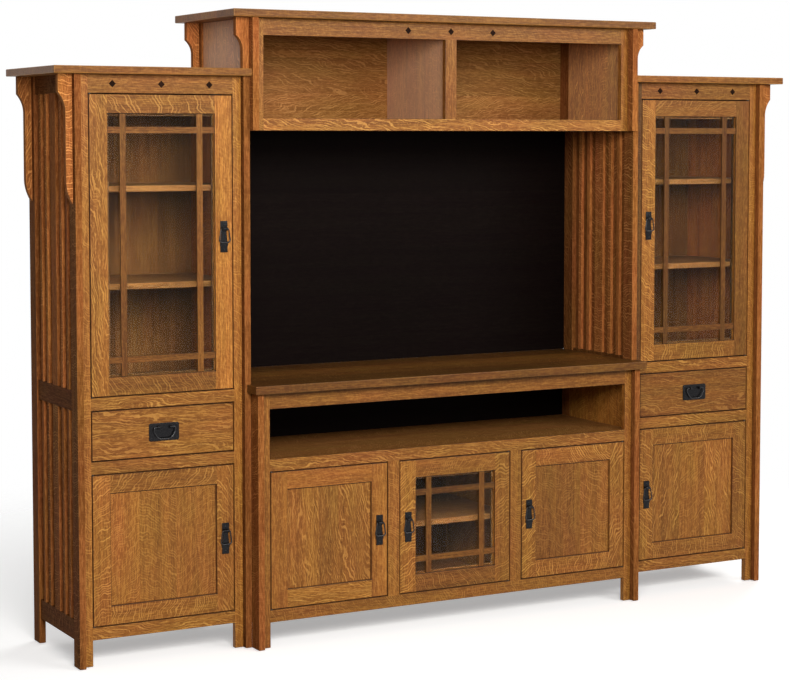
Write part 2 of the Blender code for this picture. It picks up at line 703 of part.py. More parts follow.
def console():
    """The low cabinet: three doors under an open bay for equipment."""
    eave = CONSOLE_EAVE - SEAT_GAP
    half_core = CORE_X - POST_THICK - SEAT_GAP
    half_opening = CORE_X - POST_THICK - STILE_WIDTH
    front = CONSOLE_FACE - POST_PROUD - CONSOLE_TOP_FRONT
    ear_rear = FACE - POST_PROUD - REVEAL
    ear_x = INNER_X + CONSOLE_EAR
    top_z = (CONSOLE_EAVE, CONSOLE_HEIGHT)
    top = [
        ((-CORE_X, CORE_X), (front, FACE + BRIDGE_BACK_REAR), top_z),
        ((-ear_x, ear_x), (front, ear_rear), top_z),
    ]
    wooden("console_top", top, OAK_FRONT)
    for side, label in ((-1, "left"), (1, "right")):
        name = "console_" + label + "_side"
        posted_side(name, side, CONSOLE_FACE - POST_PROUD, CONSOLE_REAR, 0, FOOT_HEIGHT, eave)

    half_centre = CENTRE_DOOR_WIDTH / 2
    door_z = (CONSOLE_FLOOR, CONSOLE_DOOR_TOP)
    left_x = (-half_opening, -half_centre - CONSOLE_MID_STILE)
    centre_x = (-half_centre, half_centre)
    right_x = (half_centre + CONSOLE_MID_STILE, half_opening)
    full_x = (-half_opening, half_opening)
    openings = [(full_x, (0, FOOT_HEIGHT)), (full_x, (BAY_FLOOR, BAY_TOP))]
    openings += [(x, door_z) for x in (left_x, centre_x, right_x)]
    hinges = ((left_x, -1), (centre_x, 1), (right_x, 1))
    doors = [(x, door_z, CONSOLE_FACE, hinge) for x, hinge in hinges]
    core = (-half_core, half_core)
    face_frame("console_face_frame", core, (0, eave), CONSOLE_FACE, openings, OAK_FRONT, doors)
    back_y = (CONSOLE_REAR - BACK_THICK, CONSOLE_REAR)
    wooden("console_back", [(core, back_y, (FOOT_HEIGHT, eave))], OAK_BACK)

    deep = (CONSOLE_FACE + FRAME_THICK + SEAT_GAP, back_y[0] - SEAT_GAP)
    wall = half_centre + CONSOLE_MID_STILE / 2
    wall_x = (wall - BOARD_THICK / 2, wall + BOARD_THICK / 2)
    wall_z = (CONSOLE_FLOOR, BAY_FLOOR - BOARD_THICK)
    interior = [
        (core, deep, (CONSOLE_FLOOR - BOARD_THICK, CONSOLE_FLOOR)),
        (core, deep, (BAY_FLOOR - BOARD_THICK, BAY_FLOOR)),
        (wall_x, deep, wall_z),
        (span(-wall_x[0], -wall_x[1]), deep, wall_z),
    ]
    wooden("console_interior", interior, OAK_INSIDE)
    shelf_x = wall_x[0] - SEAT_GAP
    shelf_y = (CONSOLE_FACE + DOOR_THICK + SHELF_SETBACK, deep[1])
    shelf_z = CONSOLE_FLOOR + CONSOLE_SHELF_RISE
    shelf = ((-shelf_x, shelf_x), shelf_y, (shelf_z, shelf_z + BOARD_THICK))
    wooden("console_shelf", [shelf], OAK_INSIDE)

    for (x, hinge), label in zip(hinges, ("left", "centre", "right")):
        name = "console_" + label + "_door"
        leaf = door_leaf(name, x, door_z, CONSOLE_FACE, hinge, label == "centre")
        door_pull(name, leaf, x, door_z, CONSOLE_FACE, hinge)


def bridge():
    """The bridge that spans the towers: two cubbies, a top, and the tall back of the screen bay."""
    eave = BRIDGE_EAVE - SEAT_GAP
    half_core = CORE_X - POST_THICK - SEAT_GAP
    half_opening = CORE_X - POST_THICK - STILE_WIDTH
    front = BRIDGE_FACE - BRIDGE_POST_PROUD
    sizes = (
        CORBEL_REACH,
        CORBEL_CAP,
        CORBEL_STEM,
        BRIDGE_CORBEL_SWEEP,
        eave - TOWER_HEIGHT - SEAT_GAP,
        0,
    )
    for side, label in ((-1, "left"), (1, "right")):
        name = "bridge_" + label + "_side"
        board = posted_side(name, side, front, REAR, BRIDGE_FOOT, BRIDGE_FOOT, eave)
        fronts = [BRIDGE_FACE, REAR - POST_DEPTH + POST_PROUD]
        add_corbels(board, side, CORE_X, eave, fronts, sizes)

    depth = (BRIDGE_FACE, BRIDGE_FACE + FRAME_THICK)
    deep = (depth[1], REAR)
    core = (-half_core, half_core)
    half_divider = BRIDGE_DIVIDER / 2
    case = [
        ((-half_core, -half_opening), depth, (BRIDGE_FOOT, eave)),
        ((half_opening, half_core), depth, (BRIDGE_FOOT, eave)),
        (core, depth, (BRIDGE_FOOT, CUBBY_FLOOR)),
        (core, depth, (CUBBY_TOP, eave)),
        ((-half_divider, half_divider), depth, (CUBBY_FLOOR, CUBBY_TOP)),
        (core, deep, (CUBBY_FLOOR - BOARD_THICK, CUBBY_FLOOR)),
        ((-BOARD_THICK / 2, BOARD_THICK / 2), deep, (CUBBY_FLOOR, eave)),
    ]
    wooden("bridge_cubby_case", case, OAK_FRONT)

    top_half = CORE_X + BRIDGE_TOP_SIDE
    top_y = (front - BRIDGE_TOP_FRONT, FACE + REAR_REACH)
    top_z = (BRIDGE_EAVE, BRIDGE_EAVE + BRIDGE_TOP_THICK)
    wooden("bridge_top", [((-top_half, top_half), top_y, top_z)], OAK_FRONT)
    back_y = (REAR + SEAT_GAP, FACE + BRIDGE_BACK_REAR)
    back = ((-CORE_X, CORE_X), back_y, (CONSOLE_HEIGHT + SEAT_GAP, eave))
    wooden("bridge_back", [back], OAK_BACK)


clear_scene()
tower(-1, "left")
tower(1, "right")
console()
bridge()
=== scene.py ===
# %% [markdown]
# # An oak entertainment centre, dressed for a picture
#
# The construction is already there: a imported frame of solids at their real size. This file gives
# each of them the look of the real thing: boards with their own grain, eased edges, joints, glass
# and black iron pulls. It is written as a lesson. Each step says what the piece is, how it could be
# made and why this way was chosen, and then makes it.

# %% Load the frame
import json
import math
import random

import bmesh
import bpy
from mathutils import Matrix, Vector


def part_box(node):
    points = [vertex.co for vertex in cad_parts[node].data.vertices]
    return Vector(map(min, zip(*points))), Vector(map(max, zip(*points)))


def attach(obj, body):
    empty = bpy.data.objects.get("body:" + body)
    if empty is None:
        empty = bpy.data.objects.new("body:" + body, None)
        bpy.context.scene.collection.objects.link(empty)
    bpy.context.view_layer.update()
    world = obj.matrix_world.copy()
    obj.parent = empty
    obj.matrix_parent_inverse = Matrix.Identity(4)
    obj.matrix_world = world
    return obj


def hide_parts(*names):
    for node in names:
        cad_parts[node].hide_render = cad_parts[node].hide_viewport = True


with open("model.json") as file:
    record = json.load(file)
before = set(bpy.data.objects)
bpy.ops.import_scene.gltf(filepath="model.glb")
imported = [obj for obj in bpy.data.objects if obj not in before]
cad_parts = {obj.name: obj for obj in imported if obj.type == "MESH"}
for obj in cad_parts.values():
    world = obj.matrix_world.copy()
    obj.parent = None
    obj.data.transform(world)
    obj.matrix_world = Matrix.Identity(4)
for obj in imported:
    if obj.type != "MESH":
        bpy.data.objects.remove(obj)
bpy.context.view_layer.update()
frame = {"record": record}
behaviour = frame["record"]["behaviour"]
body_of = {node: body for body, nodes in behaviour["bodies"].items() for node in nodes}

# %% [markdown]
# ## The camera
#
# The photograph was taken from the left, about two paces outside the left tower, at eye level. Its
# upright lines are almost parallel, as architects like them. That could be done with a lens shift
# alone, but a large shift throws the object out of the frame when someone looks from another side.
# So the camera tips down a little and a small shift does the rest.

# %% Camera
CAMERA_PLACE = (-3.5452, -6.2409, 1.6939)
CAMERA_YAW = math.radians(28.775)
CAMERA_PITCH = math.radians(-3.718)
CAMERA_LENS = 92.402
CAMERA_SHIFT = -0.09

camera_data = bpy.data.cameras.new("camera")
camera_data.lens = CAMERA_LENS
camera_data.shift_y = CAMERA_SHIFT
camera = bpy.data.objects.new("camera", camera_data)
camera.location = CAMERA_PLACE
camera.rotation_euler = (math.radians(90) + CAMERA_PITCH, 0, -CAMERA_YAW)
bpy.context.scene.collection.objects.link(camera)
bpy.context.scene.camera = camera
bpy.context.scene.view_settings.view_transform = "Standard"
print("camera at", CAMERA_PLACE, "lens", CAMERA_LENS)

# %% [markdown]
# ## A short way to write shader nodes
#
# A node tree in code is long when every link is its own line. The first helper below makes one
# node, sets its properties, and fills each input with a value or with another node's output. The
# others are the few kinds of node that come back again and again.


# %% Node helpers
def fill(tree, socket, value):
    """Links an output socket to an input, or writes a plain value into it."""
    if isinstance(value, bpy.types.NodeSocket):
        tree.links.new(value, socket)
    else:
        socket.default_value = value


def add_node(tree, kind, inputs=None, **settings):
    """One shader node, with a dict of its inputs by name or number, and its settings."""
    made = tree.nodes.new("ShaderNode" + kind)
    for name, value in settings.items():
        setattr(made, name, value)
    for key, value in (inputs or {}).items():
        fill(tree, made.inputs[key], value)
    return made


def math_of(tree, operation, first, second=0.0, third=0.0, clamp=False):
    """The result of a Math node."""
    inputs = {0: first, 1: second, 2: third}
    return add_node(tree, "Math", inputs, operation=operation, use_clamp=clamp).outputs[0]


def ramp_of(tree, value, low, high):
    """A smooth step: 0 below low, 1 above high."""
    inputs = {"Value": value, "From Min": low, "From Max": high}
    return add_node(tree, "MapRange", inputs, interpolation_type="SMOOTHSTEP").outputs[0]


def noise_of(tree, vector, detail=2.0, roughness=0.5):
    """Noise at a scale of 1, so that the vector alone says how large the pattern is."""
    inputs = {"Vector": vector, "Scale": 1.0, "Detail": detail, "Roughness": roughness}
    return add_node(tree, "TexNoise", inputs).outputs["Fac"]


def scaled(tree, vector, factors):
    """A vector with a factor for each axis: the larger, the finer a pattern along it."""
    return add_node(tree, "VectorMath", {0: vector, 1: factors}, operation="MULTIPLY").outputs[0]


def joined(tree, x, y, z=0.0):
    """A vector from its three parts."""
    return add_node(tree, "CombineXYZ", {0: x, 1: y, 2: z}).outputs[0]


def mix_colour(tree, factor, first, second):
    """Mixes two colours. The Mix node keeps its colour sockets at places 6 and 7."""
    inputs = {0: factor, 6: first, 7: second}
    mixer = add_node(tree, "Mix", data_type="RGBA", blend_type="MIX")
    for place, value in inputs.items():
        fill(tree, mixer.inputs[place], value)
    return mixer.outputs[2]


def new_material(name):
    """A new material, with its node tree and its Principled shader."""
    material = bpy.data.materials.new(name)
    material.use_nodes = True
    return material, material.node_tree, material.node_tree.nodes["Principled BSDF"]


def feed_shader(tree, shader, group, strength, distance):
    """Leads a group's colour, roughness and height into the shader, the height as a bump."""
    inputs = {"Height": group.outputs["Height"], "Strength": strength, "Distance": distance}
    bump = add_node(tree, "Bump", inputs)
    tree.links.new(group.outputs["Color"], shader.inputs["Base Color"])
    tree.links.new(group.outputs["Roughness"], shader.inputs["Roughness"])
    tree.links.new(bump.outputs[0], shader.inputs["Normal"])


def on_object(tree):
    """The place on the piece itself, in metres."""
    return add_node(tree, "TexCoord").outputs["Object"]


print("node helpers ready")

# %% [markdown]
# ## Quarter-sawn oak
#
# Oak sawn on the quarter shows two things. The growth rings stand on edge, so they run as fine
# straight lines. Across them lie the rays, which the saw opens as pale, wavy flecks. Every board
# has its own slant and strength of fleck, and its own tone.
#
# A picture of wood would repeat and stretch. Here each face corner of a board stores where it lies
# in its own log: along the grain, across it and into it. The group reads that place, so the pattern
# is solid, follows each board's own direction and never runs over a joint into the next board.
#
# The rays come first, in a function of their own. They are thin pale lines that wander, with dark
# wood between them and a lace of small dashes.


# %% The rays
def new_group(name, inputs, outputs):
    """An empty node group with typed sockets, and its input and output nodes."""
    group = bpy.data.node_groups.new(name, "ShaderNodeTree")
    for title, kind in inputs:
        group.interface.new_socket(title, in_out="INPUT", socket_type="NodeSocket" + kind)
    for title, kind in outputs:
        group.interface.new_socket(title, in_out="OUTPUT", socket_type="NodeSocket" + kind)
    return group, group.nodes.new("NodeGroupInput"), group.nodes.new("NodeGroupOutput")


def fleck_lines(tree, grain, place, slant, spacing):
    """Three masks: the pale rays, the dark wood between them and the lace of dashes."""
    sway = noise_of(tree, scaled(tree, grain, (6.0, 14.0, 4.0)), 2.0)
    ripple = noise_of(tree, scaled(tree, grain, (90.0, 130.0, 20.0)), 1.0)
    sway = math_of(tree, "MULTIPLY_ADD", sway, 0.080, -0.040)
    ripple = math_of(tree, "MULTIPLY_ADD", ripple, 0.005, -0.0025)
    cosine = math_of(tree, "COSINE", slant)
    sine = math_of(tree, "SINE", slant)
    along = math_of(tree, "MULTIPLY", place.outputs["X"], cosine)
    over = math_of(tree, "MULTIPLY_ADD", place.outputs["Y"], sine, along)
    over = math_of(tree, "ADD", over, math_of(tree, "ADD", sway, ripple))
    back = math_of(tree, "MULTIPLY", place.outputs["X"], sine)
    back = math_of(tree, "MULTIPLY", back, -1.0)
    beside = math_of(tree, "MULTIPLY_ADD", place.outputs["Y"], cosine, back)
    count = math_of(tree, "DIVIDE", over, spacing)
    beat = math_of(tree, "SINE", math_of(tree, "MULTIPLY", count, 2 * math.pi))
    stretch = math_of(tree, "MULTIPLY", count, 1.3)
    reach = math_of(tree, "MULTIPLY", beside, 12.0)
    ribbons = noise_of(tree, joined(tree, stretch, reach, place.outputs["Z"]), 1.0)
    swing = math_of(tree, "MULTIPLY_ADD", ribbons, 4.2, -2.1)
    beat = math_of(tree, "MULTIPLY", beat, 0.75)
    pale = ramp_of(tree, math_of(tree, "ADD", swing, beat), 0.52, 0.88)
    dark = ramp_of(tree, math_of(tree, "SUBTRACT", swing, beat), 0.20, 0.85)
    fine_over = math_of(tree, "MULTIPLY", over, 330.0)
    dashes = joined(tree, fine_over, math_of(tree, "MULTIPLY", beside, 75.0))
    lace = ramp_of(tree, noise_of(tree, dashes, 1.0), 0.56, 0.68)
    return pale, dark, lace


print("rays ready")

# %% [markdown]
# The group lays the rings down first, then its masks one over the other, each with its own share.
# The finish comes last. An eased edge marked pale turns pale, partly from wear where hands rub it
# and partly as a painted highlight. One marked dark, as in the gaps round a door, turns dark,
# partly from gathered stain and partly as painted shade. A pale veil of painted sheen, a reflection
# laid into the colour, can lie over the whole board. The lines are a few millimetres apart, so the
# factors run to hundreds per metre, and the pores are finer still.

# %% The oak group
# The first colour is the dark of the edge marks: partly gathered stain, partly painted shade. The
# second is a painted sheen: pale reflected light laid over the colour.
STAIN_AND_PAINTED_SHADE = (0.020, 0.006, 0.002, 1.0)
PAINTED_SHEEN_COLOUR = (0.75, 0.50, 0.38, 1.0)


def oak_group():
    group, inside, outside = new_group(
        "quarter_sawn_oak",
        [("Grain", "Vector"), ("Figure", "Vector"), ("Finish", "Vector"), ("Pale", "Color"),
         ("Body", "Color"), ("Dark", "Color")],
        [("Color", "Color"), ("Roughness", "Float"), ("Height", "Float")],
    )
    grain = inside.outputs["Grain"]
    place = add_node(group, "SeparateXYZ", {0: grain})
    figure = add_node(group, "SeparateXYZ", {0: inside.outputs["Figure"]})
    finish = add_node(group, "SeparateXYZ", {0: inside.outputs["Finish"]})
    slant, strength, spacing = figure.outputs
    tone, edge_wear_light_shade, painted_sheen = finish.outputs

    drift = noise_of(group, scaled(group, grain, (1.6, 7.0, 7.0)), 2.0)
    across = math_of(group, "MULTIPLY_ADD", drift, 0.018, place.outputs["Y"])
    rings = joined(group, place.outputs["X"], across, place.outputs["Z"])
    fine = noise_of(group, scaled(group, rings, (3.0, 170.0, 50.0)), 5.0, 0.75)
    broad = noise_of(group, scaled(group, rings, (0.6, 34.0, 12.0)), 2.0)
    ticks = noise_of(group, scaled(group, rings, (38.0, 320.0, 320.0)), 2.0, 0.7)
    pores = noise_of(group, scaled(group, rings, (75.0, 1500.0, 1500.0)), 1.0)
    pores = ramp_of(group, pores, 0.58, 0.68)

    flecks, hollows, lace = fleck_lines(group, grain, place, slant, spacing)
    patches = noise_of(group, scaled(group, grain, (5.0, 9.0, 3.0)), 1.5)
    patches = ramp_of(group, patches, 0.26, 0.50)
    patches = math_of(group, "MULTIPLY_ADD", patches, 0.75, 0.25)
    patches = math_of(group, "MULTIPLY", patches, strength)
    flecks = math_of(group, "MULTIPLY", flecks, patches)
    hollows = math_of(group, "MULTIPLY", hollows, patches)
    lace = math_of(group, "MULTIPLY", lace, math_of(group, "MULTIPLY_ADD", strength, 0.6, 0.25))

    streak = math_of(group, "MULTIPLY", ramp_of(group, fine, 0.34, 0.66), 0.62)
    streak = math_of(group, "MULTIPLY_ADD", ramp_of(group, broad, 0.30, 0.70), 0.32, streak)
    colour = mix_colour(group, streak, inside.outputs["Body"], inside.outputs["Dark"])
    for mask, share, shade in (
        (ramp_of(group, ticks, 0.49, 0.60), 0.46, "Dark"),
        (ramp_of(group, math_of(group, "SUBTRACT", 1.0, ticks), 0.50, 0.64), 0.30, "Pale"),
        (hollows, 0.45, "Dark"),
        (lace, 0.38, "Pale"),
        (flecks, 0.80, "Pale"),
        (pores, 0.40, "Dark"),
        (math_of(group, "MAXIMUM", edge_wear_light_shade, 0.0), 0.35, "Pale"),
    ):
        part = math_of(group, "MULTIPLY", mask, share)
        colour = mix_colour(group, part, colour, inside.outputs[shade])
    # Dark edge marks: gathered stain and painted shade of the gaps.
    stain_and_shade = math_of(group, "MULTIPLY", edge_wear_light_shade, -0.92, clamp=True)
    colour = mix_colour(group, stain_and_shade, colour, STAIN_AND_PAINTED_SHADE)

    cloud = noise_of(group, scaled(group, grain, (2.6, 9.0, 5.0)), 3.0, 0.6)
    level = math_of(group, "MULTIPLY_ADD", tone, 0.22, 0.85)
    level = math_of(group, "MULTIPLY_ADD", cloud, 0.30, level)
    warmth = noise_of(group, scaled(group, grain, (3.4, 12.0, 6.0)), 2.0)
    warmth = math_of(group, "MULTIPLY_ADD", warmth, 0.030, 0.485)
    shade = add_node(group, "HueSaturation", {"Color": colour, "Value": level, "Hue": warmth})
    # Painted sheen: a pale reflection laid over the colour of the board.
    with_painted_sheen = mix_colour(group, painted_sheen, shade.outputs[0], PAINTED_SHEEN_COLOUR)
    group.links.new(with_painted_sheen, outside.inputs["Color"])

    rough = math_of(group, "MULTIPLY_ADD", pores, 0.20, 0.42)
    rough = math_of(group, "MULTIPLY_ADD", flecks, -0.08, rough)
    group.links.new(rough, outside.inputs["Roughness"])
    height = math_of(group, "MULTIPLY_ADD", pores, -0.6, math_of(group, "MULTIPLY", fine, 0.4))
    group.links.new(height, outside.inputs["Height"])
    return group


OAK = oak_group()
print("oak group has", len(OAK.nodes), "nodes")

# %% [markdown]
# Each place on the cabinet takes the same group with its own three colours: the pale of the flecks,
# the body of the wood and the dark of its lines. The fronts have a thin satin lacquer, which is a
# coat. The sides, the inside and the dark back are duller. The sides' colours are a darker, redder
# copy of the fronts', as painted shade, and the back's are near black, as painted shade too.


# %% Oak finishes
def oak(name, pale, body, dark, coat, shine):
    """A material with the oak group in it, its three colours, its lacquer and its shine."""
    material, tree, shader = new_material(name)
    wood = add_node(tree, "Group", node_tree=OAK)
    for title in ("Grain", "Figure", "Finish"):
        source = add_node(tree, "Attribute", attribute_name=title.lower())
        tree.links.new(source.outputs["Vector"], wood.inputs[title])
    for title, colour in (("Pale", pale), ("Body", body), ("Dark", dark)):
        wood.inputs[title].default_value = (*colour, 1.0)
    feed_shader(tree, shader, wood, strength=0.35, distance=0.0004)
    shader.inputs["Coat Weight"].default_value = coat
    shader.inputs["Coat Roughness"].default_value = 0.25
    shader.inputs["Specular IOR Level"].default_value = shine
    return material


oak_front = oak("oak_front", pale=(0.620, 0.295, 0.066), body=(0.365, 0.138, 0.024),
                dark=(0.135, 0.042, 0.006), coat=0.04, shine=0.16)
# Painted shade: oak_side is a darker, redder copy of oak_front for the sides, which face away from
# the lamps.
oak_side = oak("oak_side", pale=(0.500, 0.208, 0.062), body=(0.325, 0.110, 0.029),
               dark=(0.120, 0.036, 0.009), coat=0.0, shine=0.004)
oak_inside = oak("oak_inside", pale=(0.470, 0.225, 0.070), body=(0.330, 0.140, 0.036),
                 dark=(0.140, 0.052, 0.012), coat=0.0, shine=0.05)
# Painted shade: oak_back is near black, for the shade in the open bays in front of it.
oak_back = oak("oak_back", pale=(0.010, 0.006, 0.005), body=(0.006, 0.004, 0.003),
               dark=(0.004, 0.002, 0.002), coat=0.0, shine=0.02)
print("finishes", [material.name for material in (oak_front, oak_side, oak_inside, oak_back)])

# %% [markdown]
# ## From a mesh under way to a finished piece
#
# Every piece below is built the same way: a bmesh under way, shaped by operators, then a mesh, an
# object at the origin, a finish and a tie to the frame. Each piece rides on the body of its node.
# Most of them also stand for the node, so that the plain solid steps back. Small fittings only
# ride.

# %% Piece helpers
SMOOTH_UNDER = math.radians(35)


def once(items):
    """Each item once, in the order in which it first comes."""
    return list(dict.fromkeys(items))


def ease_edges(bm, edges, ease, segments=2):
    """Rounds edges over with a real bevel."""
    bmesh.ops.bevel(bm, geom=edges, offset=ease, segments=segments, affect="EDGES", profile=0.5,
                    material=-1)


def add_box(bm, low, size, ease, segments=2):
    """A box with eased edges, from its low corner and its size."""
    corners = bmesh.ops.create_cube(bm, size=1.0)["verts"]
    bmesh.ops.scale(bm, vec=size, verts=corners)
    bmesh.ops.translate(bm, vec=low + size / 2, verts=corners)
    ease_edges(bm, once(edge for corner in corners for edge in corner.link_edges), ease, segments)


def pull_out(bm, faces, travel):
    """Gives flat faces a thickness: they are extruded and what is new moves on by travel."""
    raised = bmesh.ops.extrude_face_region(bm, geom=faces)["geom"]
    moved = [item for item in raised if isinstance(item, bmesh.types.BMVert)]
    bmesh.ops.translate(bm, vec=travel, verts=moved)


def dress(piece, node, material, stands_for=True):
    """Links a finished piece, gives it its finish and ties it to the frame.

    The frame's own finishes have the same names as these, so Blender numbers these: oak_front.001.
    """
    bpy.context.scene.collection.objects.link(piece)
    piece.data.materials.append(material)
    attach(piece, body_of[node])
    if stands_for:
        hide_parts(node)
    return piece


def make_piece(bm, name, node, material, stands_for=True, smooth=False):
    """Turns a bmesh into a dressed piece. Metal is shaded smooth, but for its arrises."""
    mesh = bpy.data.meshes.new(name)
    bm.to_mesh(mesh)
    bm.free()
    if smooth:
        mesh.shade_smooth()
        mesh.set_sharp_from_angle(angle=SMOOTH_UNDER)
    return dress(bpy.data.objects.new(name, mesh), node, material, stands_for)


print("piece helpers ready")

# %% [markdown]
# ## The figure of a board
#
# A sawyer sorts boards by their figure: plain, quiet, striped like a tiger, slashed, steep or wavy.
# Each kind is a slant of the rays in degrees, a strength and a spacing in metres. A board takes one
# of them by chance, a little changed, from a seeded generator, so that every run gives the same
# cabinet. Where the photograph shows which board it is, the kind is named.

# %% Figures
seed = random.Random(20)
FIGURES = {
    "plain": (25, 0.10, 0.012),
    "quiet": (30, 0.40, 0.0075),
    "tiger": (8, 0.90, 0.0090),
    "slash": (33, 0.90, 0.0085),
    "steep": (62, 0.80, 0.0080),
    "wavy": (80, 0.80, 0.0075),
}
ANY_FIGURE = ("plain", "tiger", "slash", "slash", "steep")
FRAME_FIGURE = ("tiger", "slash", "slash", "steep", "quiet", "plain")
PANEL_FIGURE = ("quiet", "wavy", "quiet", "wavy")


def pick_figure(name):
    """The slant, strength and spacing of a board's rays, a little different on every board."""
    choices = (name,) if isinstance(name, str) else name or ANY_FIGURE
    slant, strength, spacing = FIGURES[seed.choice(choices)]
    slant = math.radians(seed.choice((-1, 1)) * (slant + seed.uniform(-6, 6)))
    return slant, strength * seed.uniform(0.7, 1.0), spacing * seed.uniform(0.85, 1.3)


def log_shift():
    """A far-off place in the log, so that no two boards show the same wood."""
    return Vector([seed.uniform(0, 8) for axis in range(3)])


print("figures", list(FIGURES))

# %% [markdown]
# ## Boards
#
# Every wooden piece is glued up from boards. A board could be a scaled cube with a Bevel modifier,
# but then several boards can't share one object and each needs its own grain. So boards are made in
# one mesh: a cube is scaled to its place, its edges are eased with a real bevel, and planes cut it
# into the strips that it was glued from. Then every face corner gets its place in its own log.
#
# A shaped board is a flat outline that is pulled out to its thickness, and is then eased, sawn and
# marked in the same way.

# %% Board maker
BOARD_EASE = 0.0008
AXIS = {"x": 0, "y": 1, "z": 2}
EDGE_STRENGTH = 0.1


class Lumber:
    """One wooden piece under way: a mesh that knows each face's grain, figure and finish.

    Its edge says what the eased arrises look like: 1 for pale, partly wear where hands and cloths
    rub them and partly a painted highlight; -1 for dark, partly gathered stain and partly painted
    shade, as in the gaps round a door. Front is a tone added to the faces that look forwards,
    painted light that sets them apart from the sides, and the inner-wall tone is one for those that
    look along X by the sign of inward, painted light as well. The sheen is how strong a pale
    painted reflection lies over the colour, and spread how far the tones of its boards lie apart.
    """

    def __init__(self, edge=-1.0, front=0.0, painted_sheen=0.0, spread=0.7):
        self.edge = edge
        self.front = front
        self.painted_sheen = painted_sheen
        self.spread = spread
        self.inward, self.inward_light = 0, 0.0
        self.bm = bmesh.new()
        self.grain = self.bm.loops.layers.float_vector.new("grain")
        self.figure = self.bm.faces.layers.float_vector.new("figure")
        self.look = self.bm.faces.layers.float_vector.new("finish")
        self.sawn = self.bm.faces.layers.int.new("sawn")

    def newest(self):
        """The faces of the board that has not been sawn yet."""
        return [face for face in self.bm.faces if not face[self.sawn]]

    def cut_newest(self, place, normal):
        """Cuts the newest faces along a plane."""
        fresh = self.newest()
        geometry = fresh + once(edge for face in fresh for edge in face.edges)
        geometry += once(vert for face in fresh for vert in face.verts)
        bmesh.ops.bisect_plane(self.bm, geom=geometry, plane_co=place, plane_no=normal)

    def board(self, x, y, z, grain, ease=BOARD_EASE, strips=1, figure=None, tone=0.0):
        """Adds one board, as three ranges, glued from strips that lie side by side."""
        low = Vector((x[0], y[0], z[0]))
        size = Vector((x[1] - x[0], y[1] - y[0], z[1] - z[0]))
        add_box(self.bm, low, size, ease)
        self.saw(low, size, grain, strips, figure, tone)

    def slab(self, outline, travel, grain, ease=BOARD_EASE, strips=1, figure=None, tone=0.0):
        """Adds a shaped board: a flat outline of points, carried along by travel."""
        face = self.bm.faces.new([self.bm.verts.new(point) for point in outline])
        travel = Vector(travel)
        pull_out(self.bm, [face], travel)
        fresh = self.newest()
        bmesh.ops.recalc_face_normals(self.bm, faces=fresh)
        ends = [face for face in fresh if face.normal.cross(travel).length < 1e-6]
        ease_edges(self.bm, once(edge for face in ends for edge in face.edges), ease)
        points = [vert.co for face in self.newest() for vert in face.verts]
        low = Vector([min(point[axis] for point in points) for axis in range(3)])
        high = Vector([max(point[axis] for point in points) for axis in range(3)])
        self.saw(low, high - low, grain, strips, figure, tone)

    def saw(self, low, size, grain, strips, figure, tone):
        """Cuts the newest board into strips and writes each strip's grain, figure and tone."""
        along = AXIS[grain]
        others = sorted((axis for axis in range(3) if axis != along), key=lambda axis: -size[axis])
        across, into = others
        side = Vector([1.0 if axis == across else 0.0 for axis in range(3)])
        shares = [(index + seed.uniform(-0.18, 0.18)) / strips for index in range(1, strips)]
        seams = [low[across] + share * size[across] for share in shares]
        for seam in seams:
            place = low.copy()
            place[across] = seam
            self.cut_newest(place, side)
        looks = []
        for index in range(strips):
            shift = log_shift()
            looks.append((*pick_figure(figure), self.own_tone(tone), shift))
        for face in self.newest():
            centre = face.calc_center_median()
            look = looks[sum(centre[across] > seam for seam in seams)]
            self.mark(face, (along, across, into), look)

    def own_tone(self, tone):
        return tone + self.spread * seed.uniform(-1, 1)

    def mark(self, face, axes, look):
        """Writes one face's grain place, figure and finish."""
        slant, strength, spacing, shade, shift = look
        facing = abs(face.normal[axes[2]]) > 0.7
        eased = max(abs(part) for part in face.normal) < 0.98
        strength *= 1.0 if facing else EDGE_STRENGTH
        face[self.figure] = (slant, strength, spacing)
        # Painted light: faces that look forwards, and inner walls that face inwards, get a lighter
        # tone.
        shade += self.front if face.normal.y < -0.7 else 0.0
        shade += self.inward_light if self.inward * face.normal.x > 0.7 else 0.0
        face[self.look] = (shade, self.edge if eased else 0.0, self.painted_sheen)
        face[self.sawn] = 1
        for loop in face.loops:
            loop[self.grain] = Vector([loop.vert.co[axis] for axis in axes]) + shift

    def finish(self, name, node, material, stands_for=True):
        """Makes the object, which rides on its node's body and stands for the node."""
        self.bm.faces.layers.int.remove(self.sawn)
        return make_piece(self.bm, name, node, material, stands_for)


def span(first, second):
    """A range from two ends in either order."""
    return (min(first, second), max(first, second))


def inner(edges, margin):
    """A range drawn in by a margin at both ends."""
    return (edges[0] + margin, edges[1] - margin)


print("board maker ready")

# %% [markdown]
# A frame is made of members that meet in flush joints, with no gap between them. Separate boards
# would show their eased edges as grooves there. So a frame is a flat sheet, cut along the edges of
# its members, cleared between them and pulled out. It stays one solid, with one bevel round its
# outline and its openings, while each member keeps its own grain.

# %% Frame maker
CREASE = 0.5


